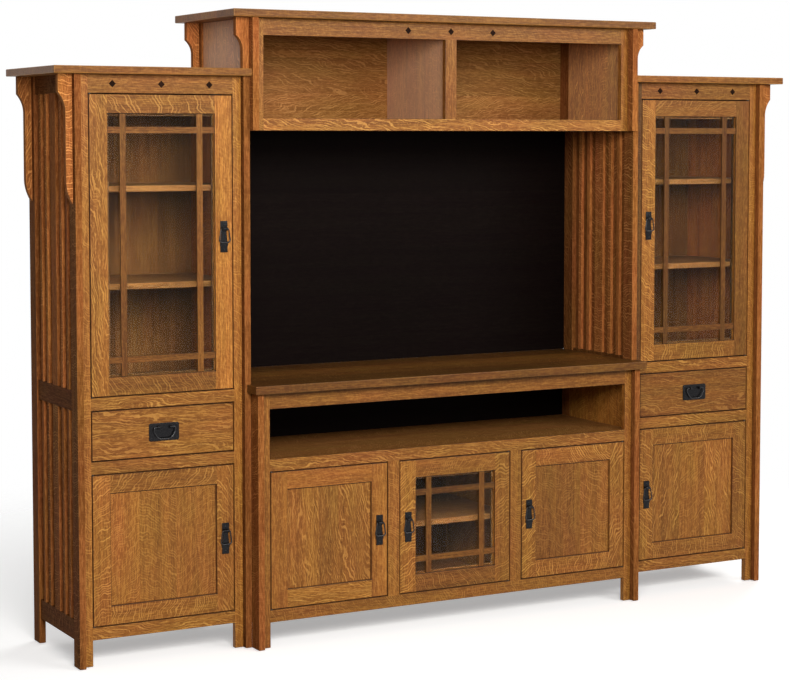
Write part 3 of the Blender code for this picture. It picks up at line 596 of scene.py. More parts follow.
def joinery(wood, members, y, ease, figures=()):
    """Adds a flat frame whose members meet in flush joints, as one solid.

    A member is its range in x, its range in z, its grain and its tone. Where two overlap, the
    first one runs through. The first members can be given a figure by name.
    """
    low_x, high_x = min(x[0] for x, *_ in members), max(x[1] for x, *_ in members)
    low_z, high_z = min(z[0] for _, z, *_ in members), max(z[1] for _, z, *_ in members)
    low, high = Vector((low_x, y[0], low_z)), Vector((high_x, y[0], high_z))
    sheet = bmesh.ops.create_grid(wood.bm, x_segments=1, y_segments=1, size=0.5)["verts"]
    upright = Matrix.Rotation(math.radians(90), 3, "X")
    bmesh.ops.rotate(wood.bm, verts=sheet, matrix=upright)
    bmesh.ops.scale(wood.bm, vec=(high.x - low.x, 1.0, high.z - low.z), verts=sheet)
    bmesh.ops.translate(wood.bm, vec=(low + high) / 2, verts=sheet)
    across = {edge for x, *_ in members for edge in x}
    upward = {edge for _, z, *_ in members for edge in z}
    lines = [((edge, 0, 0), (1, 0, 0)) for edge in across]
    lines += [((0, 0, edge), (0, 0, 1)) for edge in upward]
    for place, normal in sorted(lines):
        wood.cut_newest(place, normal)

    def owner(spot):
        for index, (x, z, *_) in enumerate(members):
            if x[0] < spot.x < x[1] and z[0] < spot.z < z[1]:
                return index
        return None

    bare = [face for face in wood.newest() if owner(face.calc_center_median()) is None]
    bmesh.ops.delete(wood.bm, geom=bare, context="FACES")
    pull_out(wood.bm, wood.newest(), (0, y[1] - y[0], 0))
    bmesh.ops.recalc_face_normals(wood.bm, faces=wood.newest())
    edges = once(edge for face in wood.newest() for edge in face.edges)
    ease_edges(wood.bm, [edge for edge in edges if edge.calc_face_angle(0) > CREASE], ease)
    looks = []
    for index, (x, z, grain, tone) in enumerate(members):
        shift = log_shift()
        figure = pick_figure(FRAME_FIGURE)
        if index < len(figures):
            slant, strength, spacing = FIGURES[figures[index]]
            figure = (math.radians(slant), strength, spacing)
        axes = (AXIS[grain], 2 - AXIS[grain], 1)
        looks.append((axes, (*figure, wood.own_tone(tone), shift)))
    for face in wood.newest():
        wood.mark(face, *looks[owner(face.calc_center_median()) or 0])


print("frame maker ready")

# %% [markdown]
# ## Places and sizes
#
# The frame knows where each node is, so most places are read from it. The few sizes inside a node,
# such as the width of a rail, are repeated here. The two towers are mirror images, so the right one
# is measured and the left one takes the other sign.

# %% Places and sizes
SIDES = ((-1, "left"), (1, "right"))
STILE = 0.030
RAIL = 0.041
FOOT = 0.086
BOARD = 0.019
REVEAL = 0.003
GLIDE = 0.002
GLASS_LIGHT = 0.967

low_frame, high_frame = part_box("right_tower_face_frame")
low_inner, high_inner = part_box("right_tower_inner_side")
low_case, high_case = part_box("right_tower_drawer_case")
FACE, FRAME_BACK = low_frame.y, high_frame.y
INNER_X = low_inner.x
POST_THICK = high_inner.x - low_inner.x
OUTER_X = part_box("right_tower_outer_side")[0].x + POST_THICK
POST_FRONT, REAR = low_inner.y, high_inner.y
TOWER_EAVE = high_inner.z
TOWER_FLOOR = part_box("right_tower_bottom_deck")[1].z
DRAWER_FLOOR = low_case.z + BOARD
LOWER_TOP = DRAWER_FLOOR - RAIL
GLASS_FLOOR = high_case.z
DRAWER_TOP = GLASS_FLOOR - RAIL
GLASS_TOP = GLASS_FLOOR + GLASS_LIGHT
CORE_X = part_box("console_right_side")[1].x
CONSOLE_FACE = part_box("console_face_frame")[0].y
BRIDGE_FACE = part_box("bridge_cubby_case")[0].y
print("towers from x", round(INNER_X, 4), "to", round(OUTER_X, 4), "face at y", round(FACE, 4))

# %% [markdown]
# ## The slatted sides
#
# Each side of a tower is a ladder of two posts and three rails with five upright slats between
# them, and a thin board behind the slats. The slats lie a little lower than the posts, so the light
# draws a line down each one. The shelf brackets outside, the corbels, are cut from one board each:
# square at the top, swept in by a round arc, and tapered out at the foot. A row of points on two
# arcs gives that outline more exactly than a modelled curve would.

# %% Corbels
CORBEL_THICK = 0.022
CORBEL_REACH = 0.046
CORBEL_CAP = 0.058
CORBEL_STEM = 0.022
CORBEL_SETBACK = 0.022
CORBEL_EASE = 0.0010


def arc_from_stem(depth, height, steps=14):
    """Points of a round arc that leaves the stem upright: how far out, and how far along."""
    radius = (depth**2 + height**2) / (2 * depth)
    rises = [height * step / steps for step in range(steps + 1)]
    return [(radius - math.sqrt(radius**2 - rise**2), rise) for rise in rises]


def corbel_outline(sweep, length, tail):
    """The corbel seen from the front: x outwards from the post, z down from the eave."""
    stem = CORBEL_STEM
    hollow = reversed(arc_from_stem(CORBEL_REACH - stem, sweep))
    outline = [(0, 0), (CORBEL_REACH, 0)]
    outline += [(stem + out, up - CORBEL_CAP - sweep) for out, up in hollow]
    if tail:
        foot = arc_from_stem(stem, tail)
        outline += [(stem - out, tail - length - along) for out, along in foot]
    else:
        outline += [(stem, -length), (0, -length)]
    return outline


def add_corbels(wood, side, face_x, eave, fronts, outline):
    """Corbels on one side of a post, one for each place of their front face."""
    for front in fronts:
        points = [(side * (face_x + out), front, eave + up) for out, up in outline]
        wood.slab(points, (0, CORBEL_THICK, 0), "z", CORBEL_EASE, tone=1.0)


tower_corbel = corbel_outline(sweep=0.062, length=0.410, tail=0.075)
print("a tower's corbel has", len(tower_corbel), "points")

# %% [markdown]
# The posts stand on thin nylon pads, so that the oak doesn't draw water from a wet floor. They are
# plain discs: a cone operator with two equal radii makes a cylinder.

# %% Glides
POST_DEPTH = 0.057
GLIDE_RADIUS = 0.008

glide_nylon, nylon_tree, nylon_shader = new_material("glide_nylon")
speck = noise_of(nylon_tree, scaled(nylon_tree, on_object(nylon_tree), (300, 300, 300)))
nylon_colour = mix_colour(nylon_tree, speck, (0.030, 0.024, 0.020, 1), (0.060, 0.046, 0.036, 1))
nylon_tree.links.new(nylon_colour, nylon_shader.inputs["Base Color"])
nylon_shader.inputs["Roughness"].default_value = 0.6


def add_disc(bm, centre, radius, length):
    """An upright cylinder about a centre."""
    bmesh.ops.create_cone(bm, cap_ends=True, segments=24, radius1=radius, radius2=radius,
                          depth=length, matrix=Matrix.Translation(centre))


def add_glides(node, name):
    """Thin pads under the two posts of a side, whose corbels may widen its box on one side."""
    low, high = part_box(node)
    bare = high.x - low.x < 2 * POST_THICK
    x = (high.x + low.x) / 2 if bare else math.copysign(OUTER_X - POST_THICK / 2, low.x)
    bm = bmesh.new()
    for y in (low.y + POST_DEPTH / 2, high.y - POST_DEPTH / 2):
        add_disc(bm, (x, y, GLIDE / 2), GLIDE_RADIUS, GLIDE)
    return make_piece(bm, name, node, glide_nylon, False)


print("glides", GLIDE, "m thick")

# %% [markdown]
# A side is one object of many boards. The light falls on the posts, slats and inner walls very
# unevenly, and a tone on each kind of board paints that light and shade into its colour.

# %% Slatted sides
POST_EASE = 0.0014
BACKING_EASE = 0.0002
SIDE_RAIL = 0.065
SIDE_TOP_RAIL = 0.058
SLAT_RECESS = 0.005
SLAT_THICK = 0.011
NARROW_SLAT = 0.019
CENTRE_SLAT = 0.051
# Painted light and shade: the tones below make posts, rails and backing darker, the upper slats
# lighter than the lower ones, forward faces lighter than the sides, and inner walls lighter where
# they face into the tower. Eased edges are pale: partly wear, partly a painted highlight.
WEAR_AND_HIGHLIGHT = 0.6
FRONT_PAINTED_LIGHT = 1.9
INWARD_PAINTED_LIGHT = 2.5
POST_TONE = -1.2
SIDE_RAIL_TONE = -1.9
BACKING_TONE = -1.2
SLAT_PAINTED_LIGHT = (0.3, 1.6)


def slat_places(field):
    """The ranges of the five slats, with equal gaps between them."""
    widths = [NARROW_SLAT, NARROW_SLAT, CENTRE_SLAT, NARROW_SLAT, NARROW_SLAT]
    gap = (field[1] - field[0] - sum(widths)) / (len(widths) + 1)
    places, start = [], field[0] + gap
    for width in widths:
        places.append((start, start + width))
        start += width + gap
    return places


def slatted_side(node, face_x, facing, post_tone, corbels=False):
    """One tower side. Facing is +1 where the slats look to +X."""
    wood = Lumber(WEAR_AND_HIGHLIGHT, FRONT_PAINTED_LIGHT)
    front_post = (POST_FRONT, POST_FRONT + POST_DEPTH)
    back_post = (REAR - POST_DEPTH, REAR)
    field = (front_post[1], back_post[0])
    back_x = face_x - facing * POST_THICK
    rail_x = face_x - facing * SLAT_RECESS
    behind = face_x - facing * (SLAT_RECESS + SLAT_THICK)
    for post in (front_post, back_post):
        wood.board(span(face_x, back_x), post, (GLIDE, TOWER_EAVE), "z", POST_EASE, tone=post_tone)
    if not corbels:
        wood.inward, wood.inward_light = -facing, INWARD_PAINTED_LIGHT
    rails = [(FOOT, FOOT + SIDE_RAIL), (DRAWER_TOP, DRAWER_TOP + SIDE_RAIL),
             (TOWER_EAVE - SIDE_TOP_RAIL, TOWER_EAVE)]
    for rail in rails:
        wood.board(span(rail_x, back_x), field, rail, "y", tone=SIDE_RAIL_TONE)
    bays = [(rails[0][1], rails[1][0]), (rails[1][1], rails[2][0])]
    for bay, slat_tone in zip(bays, SLAT_PAINTED_LIGHT):
        wood.board(span(behind, back_x), field, bay, "z", BACKING_EASE, 3, tone=BACKING_TONE)
        for place_y in slat_places(field):
            wood.board(span(rail_x, behind), place_y, bay, "z", tone=slat_tone)
    if corbels:
        fronts = [FACE, back_post[0] + CORBEL_SETBACK]
        add_corbels(wood, facing, abs(face_x), TOWER_EAVE, fronts, tower_corbel)
    wood.finish(node + "_wood", node, oak_side)
    add_glides(node, node + "_glides")


for side, label in SIDES:
    # Painted shade: the left tower's outer posts, on the side away from the lamps, are darker than
    # the right tower's.
    outer_post_tone = 0.0 if label == "right" else POST_TONE
    slatted_side(label + "_tower_outer_side", side * OUTER_X, side, outer_post_tone, True)
    slatted_side(label + "_tower_inner_side", side * INNER_X, -side, POST_TONE)
print("sides made; slats between", round(POST_FRONT + POST_DEPTH, 3), "and",
      round(REAR - POST_DEPTH, 3))

# %% [markdown]
# ## Tops, backs and shelves
#
# A top is a wide panel, glued from four or five boards side by side, with softly rounded edges.
# Backs, decks and shelves are the same with sharper edges. Each fills the box of its node, so one
# function serves for all of them.

# %% Tops, backs and shelves
TOP_EASE = 0.0025
SHELF_EASE = 0.0012
TOP_TONE = -0.7
SHELF_TONE = -1.5
# Painted shade: the backs inside the towers are darkened, the left one more.
TOWER_BACK_PAINTED_SHADE = {"left": -2.7, "right": -2.3}


def ranges(node):
    """A node's box as three ranges."""
    low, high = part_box(node)
    return (low.x, high.x), (low.y, high.y), (low.z, high.z)


def plain_board(node, material, grain, strips, ease=BOARD_EASE, figure=None, tone=0.0, spread=0.7):
    # Its eased edges are pale: partly wear, partly a painted highlight.
    wood = Lumber(1.0, spread=spread)
    wood.board(*ranges(node), grain, ease, strips, figure, tone)
    return wood.finish(node + "_wood", node, material)


for _, label in SIDES:
    tower = label + "_tower_"
    plain_board(tower + "top", oak_front, "x", 4, TOP_EASE, tone=TOP_TONE)
    plain_board(tower + "back", oak_inside, "z", 4, figure="plain", tone=TOWER_BACK_PAINTED_SHADE[label],
                spread=0.3)
    plain_board(tower + "bottom_deck", oak_inside, "x", 3)
    plain_board(tower + "lower_shelf", oak_inside, "x", 3, SHELF_EASE, tone=SHELF_TONE)
    plain_board(tower + "upper_shelf", oak_inside, "x", 3, SHELF_EASE, tone=SHELF_TONE)
plain_board("bridge_top", oak_front, "x", 4, TOP_EASE, tone=TOP_TONE)
plain_board("console_shelf", oak_inside, "x", 3, SHELF_EASE, tone=-2.3)
print("tops, backs, decks and shelves made")

# %% [markdown]
# ## The towers' frames and drawer cases
#
# A face frame is a ladder of stiles and rails that meet in flush joints. Where they meet, only a
# hairline and the change of grain show, so the members just touch, with barely eased edges. The
# drawer case behind it is two decks with a guide at each side.

# %% Tower frames
RAIL_TONE = -0.3
# Painted shade: the right tower's stile next to the console is darkened.
NEAR_STILE_PAINTED_SHADE = {"left": 0.0, "right": -2.6}
FAR_STILE_TONE = 0.5
TOWER_FRAME_FIGURES = ("quiet", "quiet", "wavy", "wavy", "wavy", "plain")


def drawer_case(node, opening):
    """Two decks and, beside the opening, the guides between them."""
    core, deep, (bottom, top) = ranges(node)
    upper = top - BOARD
    wood = Lumber()
    wood.board(core, deep, (bottom, DRAWER_FLOOR), "x", strips=3)
    wood.board(core, deep, (upper, top), "x", strips=3)
    for edge, out in ((opening[0], -1), (opening[1], 1)):
        wood.board(span(edge, edge + out * BOARD), deep, (DRAWER_FLOOR, upper), "y")
    wood.finish(node + "_wood", node, oak_inside)


for _, label in SIDES:
    node = label + "_tower_face_frame"
    x, _, (_, top) = ranges(node)
    opening = inner(x, STILE)
    members = [((x[0], opening[0]), (GLIDE, top), "z", NEAR_STILE_PAINTED_SHADE[label]),
               ((opening[1], x[1]), (GLIDE, top), "z", FAR_STILE_TONE)]
    rails = [(FOOT, TOWER_FLOOR), (LOWER_TOP, DRAWER_FLOOR), (DRAWER_TOP, GLASS_FLOOR),
             (GLASS_TOP, top)]
    members += [(x, rail, "x", RAIL_TONE) for rail in rails]
    wood = Lumber()
    joinery(wood, members, (FACE, FRAME_BACK), BOARD_EASE, TOWER_FRAME_FIGURES)
    wood.finish(node + "_wood", node, oak_front)
    drawer_case(label + "_tower_drawer_case", opening)
print("tower frames made, glass opening from z", round(GLASS_FLOOR, 3), "to", round(GLASS_TOP, 3))

# %% [markdown]
# ## The console
#
# The console's top runs between the towers and laps round their front posts with two short ears. It
# is an outline of eight corners, so it is a shaped board. The console's and the bridge's sides are
# alike: two posts and a board set in between them.

# %% Console top and posted sides
node = "console_top"
low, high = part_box(node)
ear_rear = POST_FRONT - REVEAL
half = [(high.x, low.y), (high.x, ear_rear), (CORE_X, ear_rear), (CORE_X, high.y)]
outline = [(x, y, low.z) for x, y in half] + [(-x, y, low.z) for x, y in reversed(half)]
# Painted shadow: the whole top is darkened by a tone of -2.6, as the shadow and dark reflection of
# a television that would stand on it; its forward faces take 0.8 of it back, and its eased edges
# are pale, partly wear and partly painted highlight.
wood = Lumber(WEAR_AND_HIGHLIGHT, 0.8)
wood.slab(outline, (0, 0, high.z - low.z), "x", TOP_EASE, 4, tone=-2.6)
wood.finish(node + "_wood", node, oak_front)

SIDE_PANEL = 0.016


def posted_side(node, post_tone, panel_tone, corbel=None, painted_sheen=0.0):
    """A plain side: two posts and a board set in between them."""
    low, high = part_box(node)
    side = math.copysign(1, low.x)
    post_inside = CORE_X - POST_THICK
    post_x = span(side * post_inside, side * CORE_X)
    post_z = (max(low.z, GLIDE), high.z)
    panel_x = span(side * post_inside, side * (post_inside + SIDE_PANEL))
    field = (low.y + POST_DEPTH, high.y - POST_DEPTH)
    wood = Lumber(WEAR_AND_HIGHLIGHT, FRONT_PAINTED_LIGHT)
    for post_y in ((low.y, field[0]), (field[1], high.y)):
        wood.board(post_x, post_y, post_z, "z", POST_EASE, tone=post_tone)
    if corbel:
        fronts = [BRIDGE_FACE, field[1] + CORBEL_SETBACK]
        add_corbels(wood, side, CORE_X, high.z, fronts, corbel)
    wood.finish(node + "_wood", node, oak_side)
    panel = Lumber(painted_sheen=painted_sheen)
    panel_z = (max(low.z, FOOT), high.z)
    panel.board(panel_x, field, panel_z, "z", BOARD_EASE, 3, PANEL_FIGURE, panel_tone)
    panel.finish(node + "_panel", node, oak_front)


for _, label in SIDES:
    posted_side("console_" + label + "_side", post_tone=-1.0, panel_tone=0.8)
    add_glides("console_" + label + "_side", "console_" + label + "_glides")
print("console top and sides made, ears", round(high.x - CORE_X, 3), "m wide")

# %% [markdown]
# The console's frame holds three doors under an open bay. Behind it a carcase of two floors and two
# partitions carries them. The back is one panel, oak behind the doors and near black behind the
# bay, which is painted shade, so it is two pieces that stand for one node.

# %% Console frame and case
MID_STILE = 0.045
HALF_CENTRE = 0.223
BAY = 0.167
CONSOLE_FLOOR = FOOT + RAIL
BAY_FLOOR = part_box("console_interior")[1].z
CONSOLE_DOOR_TOP = BAY_FLOOR - RAIL
BAY_TOP = BAY_FLOOR + BAY
CASE_TONE = -1.4
CONSOLE_FIGURES = ("plain", "quiet", "quiet", "wavy", "plain", "quiet", "quiet")

full, frame_y, (_, top) = ranges("console_face_frame")
console_opening = full[1] - STILE
members = [(span(side * console_opening, side * full[1]), (GLIDE, top), "z", 0.0)
           for side, _ in SIDES]
rails = [(FOOT, CONSOLE_FLOOR), (CONSOLE_DOOR_TOP, BAY_FLOOR), (BAY_TOP, top)]
members += [(full, rail, "x", RAIL_TONE) for rail in rails]
for side, _ in SIDES:
    mid = span(side * HALF_CENTRE, side * (HALF_CENTRE + MID_STILE))
    members.append((mid, (CONSOLE_FLOOR, CONSOLE_DOOR_TOP), "z", 0.0))
wood = Lumber()
joinery(wood, members, frame_y, BOARD_EASE, CONSOLE_FIGURES)
wood.finish("console_face_frame_wood", "console_face_frame", oak_front)

core, deep, _ = ranges("console_interior")
upper = BAY_FLOOR - BOARD
wood = Lumber()
wood.board(core, deep, (CONSOLE_FLOOR - BOARD, CONSOLE_FLOOR), "x", strips=3, tone=CASE_TONE)
wood.board(core, deep, (upper, BAY_FLOOR), "x", strips=3)
for side, _ in SIDES:
    wall = side * (HALF_CENTRE + MID_STILE / 2)
    wall_x = (wall - BOARD / 2, wall + BOARD / 2)
    wood.board(wall_x, deep, (CONSOLE_FLOOR, upper), "z", strips=3, tone=CASE_TONE)
wood.finish("console_interior_wood", "console_interior", oak_inside)

back_x, back_y, back_z = ranges("console_back")
wood = Lumber()
wood.board(back_x, back_y, (back_z[0], BAY_FLOOR), "z", BACKING_EASE, 6, "plain", -2.4)
wood.finish("console_back_lower_wood", "console_back", oak_inside)
# Painted shade: the part behind the open bay is near black.
wood = Lumber()
wood.board(back_x, back_y, (BAY_FLOOR, back_z[1]), "x", BACKING_EASE, 2, "plain")
wood.finish("console_back_upper_wood", "console_back", oak_back)
print("console made, bay from z", round(BAY_FLOOR, 3), "to", round(BAY_TOP, 3))

# %% [markdown]
# ## The bridge
#
# The bridge is a frame with two cubbies and a side with corbels at each end, which stand on the
# towers' tops. The left side and the divider look milky, because their lacquer mirrors bright
# light.
# A shinier lacquer would only do that from one place. So the light is painted on: those boards get
# a much lighter tone and a pale veil of painted sheen over their colour, which shows from every
# side, and the right side a weaker copy of both.

# %% Bridge sides
HAIR = 0.0003
low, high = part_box("bridge_left_side")
tower_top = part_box("left_tower_top")[1].z
bridge_corbel = corbel_outline(sweep=0.048, length=high.z - tower_top - HAIR, tail=0)
# Painted light: the left side panel is much lighter (4.0) and wears a painted sheen of 0.44; the
# right side has a weaker copy (2.2 and 0.16).
posted_side("bridge_left_side", -0.2, 4.0, bridge_corbel, painted_sheen=0.44)
posted_side("bridge_right_side", -0.2, 2.2, bridge_corbel, painted_sheen=0.16)
print("bridge sides made, corbels", round(high.z - tower_top, 3), "m high")

# %% [markdown]
# The case is a face frame in front of a floor and a divider. One thin panel closes the cubbies and
# the wide bay under them: oak behind the cubbies, and near black below, which is painted shade. The
# frame holds it as one node, so its two finishes are two pieces that stand for the same node.

# %% Bridge case and back
PANEL_EASE = 0.0003
BACK_LAP = 0.003
FRIEZE = 0.0562
DIVIDER = 0.045
BRIDGE_FIGURES = ("quiet", "quiet", "wavy", "plain", "plain")

node = "bridge_cubby_case"
full, (bridge_front, bridge_rear), (bottom, top) = ranges(node)
CUBBY_FLOOR = bottom + RAIL
CUBBY_TOP = top - FRIEZE
half_opening = full[1] - STILE
frame_y = (bridge_front, bridge_front + BOARD)
deep = (frame_y[1], bridge_rear)
members = [(span(side * half_opening, side * full[1]), (bottom, top), "z", 0.0)
           for side, _ in SIDES]
members += [(full, (bottom, CUBBY_FLOOR), "x", 0.0), (full, (CUBBY_TOP, top), "x", -0.8),
            ((-DIVIDER / 2, DIVIDER / 2), (CUBBY_FLOOR, CUBBY_TOP), "z", 0.0)]
wood = Lumber()
joinery(wood, members, frame_y, BOARD_EASE, BRIDGE_FIGURES)
wood.finish(node + "_frame_wood", node, oak_front)
wood = Lumber()
wood.board(full, deep, (CUBBY_FLOOR - BOARD, CUBBY_FLOOR), "x", strips=3)
# Painted light: the divider is much lighter (4.8) and wears a painted sheen of 0.38.
wood.painted_sheen = 0.38
divider_x = (-BOARD / 2, BOARD / 2)
wood.board(divider_x, deep, (CUBBY_FLOOR, top), "z", BOARD_EASE, 3, PANEL_FIGURE, 4.8)
wood.finish(node + "_shelf_wood", node, oak_inside)

node = "bridge_back"
back_x, back_y, back_z = ranges(node)
wood = Lumber()
wood.board(back_x, back_y, (bottom, back_z[1]), "x", PANEL_EASE, 3, "wavy", 0.3)
wood.finish(node + "_upper_wood", node, oak_inside)
# Painted shade: the lower part, behind the wide bay, is near black.
wood = Lumber()
wood.board(inner(back_x, -BACK_LAP), back_y, (back_z[0], bottom), "x", PANEL_EASE, 4, "plain")
wood.finish(node + "_lower_wood", node, oak_back)
print("bridge made, cubbies from z", round(CUBBY_FLOOR, 3), "to", round(CUBBY_TOP, 3))

# %% [markdown]
# ## Doors
#
# A panel door is a frame of two stiles and two rails round a panel that lies a little deeper. The
# stiles run the full height and the rails stand between them. Round the panel, stain has gathered
# in the corner where a cloth can't reach, and shade falls in the gap there, so its rim is cut off
# and darkened: partly stain, partly painted shade.

# %% Panel doors
DOOR_EASE = 0.0014
MEMBER = 0.061
PANEL_RECESS = 0.006
PANEL_THICK = 0.007
PANEL_TONGUE = 0.004
# The rim round a panel is darkened: partly gathered stain, partly painted shade of the gap.
SHADED_RIM = 0.0022
RIM_STAIN_AND_SHADE = -0.9


def shade_rim(panel, x, z, width):
    """Cuts a panel just inside its frame and darkens what lies outside the cuts."""
    x, z = inner(x, width), inner(z, width)
    cuts = [((edge, 0, 0), (1, 0, 0)) for edge in x] + [((0, 0, edge), (0, 0, 1)) for edge in z]
    for place, normal in cuts:
        geometry = panel.bm.faces[:] + panel.bm.edges[:] + panel.bm.verts[:]
        bmesh.ops.bisect_plane(panel.bm, geom=geometry, plane_co=place, plane_no=normal)
    for face in panel.bm.faces:
        centre = face.calc_center_median()
        if not (x[0] < centre.x < x[1] and z[0] < centre.z < z[1]):
            face[panel.look] = (face[panel.look][0], RIM_STAIN_AND_SHADE, panel.painted_sheen)


def door_frame(x, face, z, tones, rail_tone=RAIL_TONE, figures=()):
    """Two stiles at full height with two rails between them, and the light inside them."""
    light_x, light_z = inner(x, MEMBER), inner(z, MEMBER)
    stiles = [(x[0], light_x[0]), (light_x[1], x[1])]
    rails = [(z[0], light_z[0]), (light_z[1], z[1])]
    members = [(stile, z, "z", tone) for stile, tone in zip(stiles, tones)]
    members += [(x, rail, "x", tones[0] + rail_tone) for rail in rails]
    wood = Lumber()
    joinery(wood, members, (face, face + BOARD), DOOR_EASE, figures)
    return wood, light_x, light_z


def panel_door(node, x, z, face, panel_tone=0.0, frame_tone=0.0, figures=()):
    tones = (frame_tone, frame_tone)
    wood, light_x, light_z = door_frame(x, face, z, tones, figures=figures)
    wood.finish(node + "_frame", node, oak_front)
    deep = (face + PANEL_RECESS, face + PANEL_RECESS + PANEL_THICK)
    panel_x, panel_z = inner(light_x, -PANEL_TONGUE), inner(light_z, -PANEL_TONGUE)
    panel = Lumber()
    panel.board(panel_x, deep, panel_z, "z", PANEL_EASE, 3, PANEL_FIGURE, panel_tone)
    shade_rim(panel, light_x, light_z, SHADED_RIM)
    panel.finish(node + "_panel", node, oak_front)


print("panel doors: members", MEMBER, "m wide, panel", PANEL_RECESS, "m deeper")

# %% [markdown]
# In the glass doors, thin muntins cross to leave a small square pane in each corner. The pane is
# one sheet behind them all, bedded in a groove, with a slim stop round it on the inside.
#
# Glass in a render can be a thin shell or a solid sheet. This is a solid sheet with true thickness.
# Its index is lower than that of real glass, so that it mirrors the pale surroundings less. For the
# lamps it is clear, because light that is bent through glass takes very long to render.

# %% Glass doors
MUNTIN = 0.022
MUNTIN_TONE = -2.1
MUNTIN_RECESS = 0.002
CORNER_PANE = 0.0415
GLASS_Y = (0.008, 0.012)
GLASS_EASE = 0.0004
STOP = 0.008
STOP_BACK = 0.017
# Painted shade: the stops behind the glass are darkened a long way, though the lamps light them
# through it.
STOP_PAINTED_SHADE = -3.4

clear_glass, tree, shader = new_material("clear_glass")
shader.inputs["Transmission Weight"].default_value = 1.0
shader.inputs["IOR"].default_value = 1.15
shader.inputs["Roughness"].default_value = 0.0
smear = ramp_of(tree, noise_of(tree, scaled(tree, on_object(tree), (7.0, 7.0, 7.0)), 3.0), 0.4, 0.8)
tint = mix_colour(tree, smear, (0.97, 0.99, 0.98, 1.0), (0.91, 0.94, 0.92, 1.0))
tree.links.new(tint, shader.inputs["Base Color"])
through = add_node(tree, "BsdfTransparent")
lamps = add_node(tree, "LightPath").outputs["Is Shadow Ray"]
mixed = add_node(tree, "MixShader", {0: lamps, 1: shader.outputs[0], 2: through.outputs[0]})
tree.links.new(mixed.outputs[0], tree.nodes["Material Output"].inputs["Surface"])


def muntin_places(light):
    """The two bars that leave a corner pane at each end of the light."""
    near = light[0] + CORNER_PANE
    far = light[1] - CORNER_PANE
    return (near, near + MUNTIN), (far - MUNTIN, far)


def glass_door(node, pane_node, x, z, face, tones=(0.0, 0.0), figures=()):
    wood, light_x, light_z = door_frame(x, face, z, tones, -1.1, figures)
    bars = [(bar, light_z, "z", MUNTIN_TONE) for bar in muntin_places(light_x)]
    bars += [(light_x, bar, "x", MUNTIN_TONE) for bar in muntin_places(light_z)]
    bar_y = (face + MUNTIN_RECESS, face + GLASS_Y[0] - HAIR)
    joinery(wood, bars, bar_y, BOARD_EASE, ("plain",) * len(bars))
    wood.finish(node + "_wood", node, oak_front)
    stop_y = (face + GLASS_Y[1] + HAIR, face + STOP_BACK)
    stops = Lumber()
    for edge in (light_x[0], light_x[1] - STOP):
        stops.board((edge, edge + STOP), stop_y, light_z, "z", tone=STOP_PAINTED_SHADE)
    for edge in (light_z[0], light_z[1] - STOP):
        stops.board(inner(light_x, STOP), stop_y, (edge, edge + STOP), "x", tone=STOP_PAINTED_SHADE)
    stops.finish(node + "_stops", node, oak_inside, False)
    low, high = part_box(pane_node)
    bm = bmesh.new()
    add_box(bm, low, high - low, GLASS_EASE, segments=1)
    make_piece(bm, pane_node + "_pane", pane_node, clear_glass)


print("glass doors: muntins", MUNTIN, "m wide, panes", CORNER_PANE, "m in the corners")

# %% [markdown]
# All seven doors fill their openings but for a reveal of three millimetres. The tones follow what
# each door shows in the photograph.

# %% Seven doors
lower_z = inner((TOWER_FLOOR, LOWER_TOP), REVEAL)
glass_z = inner((GLASS_FLOOR, GLASS_TOP), REVEAL)
door_z = inner((CONSOLE_FLOOR, CONSOLE_DOOR_TOP), REVEAL)
GLASS_DOOR_LOOK = {"left": ((0.0, 1.7), ("wavy", "plain")), "right": ((0.1, -1.5), ())}
for side, label in SIDES:
    near, far = INNER_X + POST_THICK + STILE, OUTER_X - POST_THICK - STILE
    x = inner(span(side * near, side * far), REVEAL)
    panel_door(label + "_lower_door", x, lower_z, FACE)
    glass = label + "_glass_door"
    glass_door(glass + "_frame", glass + "_glass", x, glass_z, FACE, *GLASS_DOOR_LOOK[label])
side_x = inner((HALF_CENTRE + MID_STILE, console_opening), REVEAL)
centre_x = inner((-HALF_CENTRE, HALF_CENTRE), REVEAL)
panel_door("console_left_door", span(-side_x[0], -side_x[1]), door_z, CONSOLE_FACE,
           panel_tone=-0.6, frame_tone=0.7, figures=("plain", "plain", "wavy", "plain"))
panel_door("console_right_door", side_x, door_z, CONSOLE_FACE, panel_tone=-0.9)
centre = "console_centre_door"
glass_door(centre + "_frame", centre + "_glass", centre_x, door_z, CONSOLE_FACE)
print("seven doors made; console doors from z", round(door_z[0], 3), "to", round(door_z[1], 3))

# %% [markdown]
# ## Drawers
#
# The drawer front is one wide board with its grain across. Behind it is a plain box, which only
# shows when the drawer is open, so it needs its sides, its back and a bottom let in a little above
# their lower edge.

# %% Drawers
BOX_WALL = 0.012
BOX_HEADROOM = 0.020
BOTTOM_Z = (0.001, 0.008)
DRAWER_TONE = {"left": -0.6, "right": -0.9}

front_z = inner((DRAWER_FLOOR, DRAWER_TOP), REVEAL)
for _, label in SIDES:
    node = label + "_drawer"
    low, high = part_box(node)
    wide, front_y = (low.x, high.x), (low.y, low.y + BOARD)
    wood = Lumber()
    wood.board(wide, front_y, front_z, "x", DOOR_EASE, 1, "wavy", DRAWER_TONE[label])
    wood.finish(node + "_front_wood", node, oak_front)
    box_y = (front_y[1], high.y)
    box_z = (low.z, DRAWER_TOP - BOX_HEADROOM)
    between = inner(wide, BOX_WALL)
    wood = Lumber()
    for edge in (low.x, high.x - BOX_WALL):
        wood.board((edge, edge + BOX_WALL), box_y, box_z, "y")
    wood.board(between, (high.y - BOX_WALL, high.y), box_z, "x")
    bottom_y = (box_y[0], high.y - BOX_WALL)
    bottom_z = (low.z + BOTTOM_Z[0], low.z + BOTTOM_Z[1])
    wood.board(between, bottom_y, bottom_z, "x", PANEL_EASE, 3)
    wood.finish(node + "_box_wood", node, oak_inside)
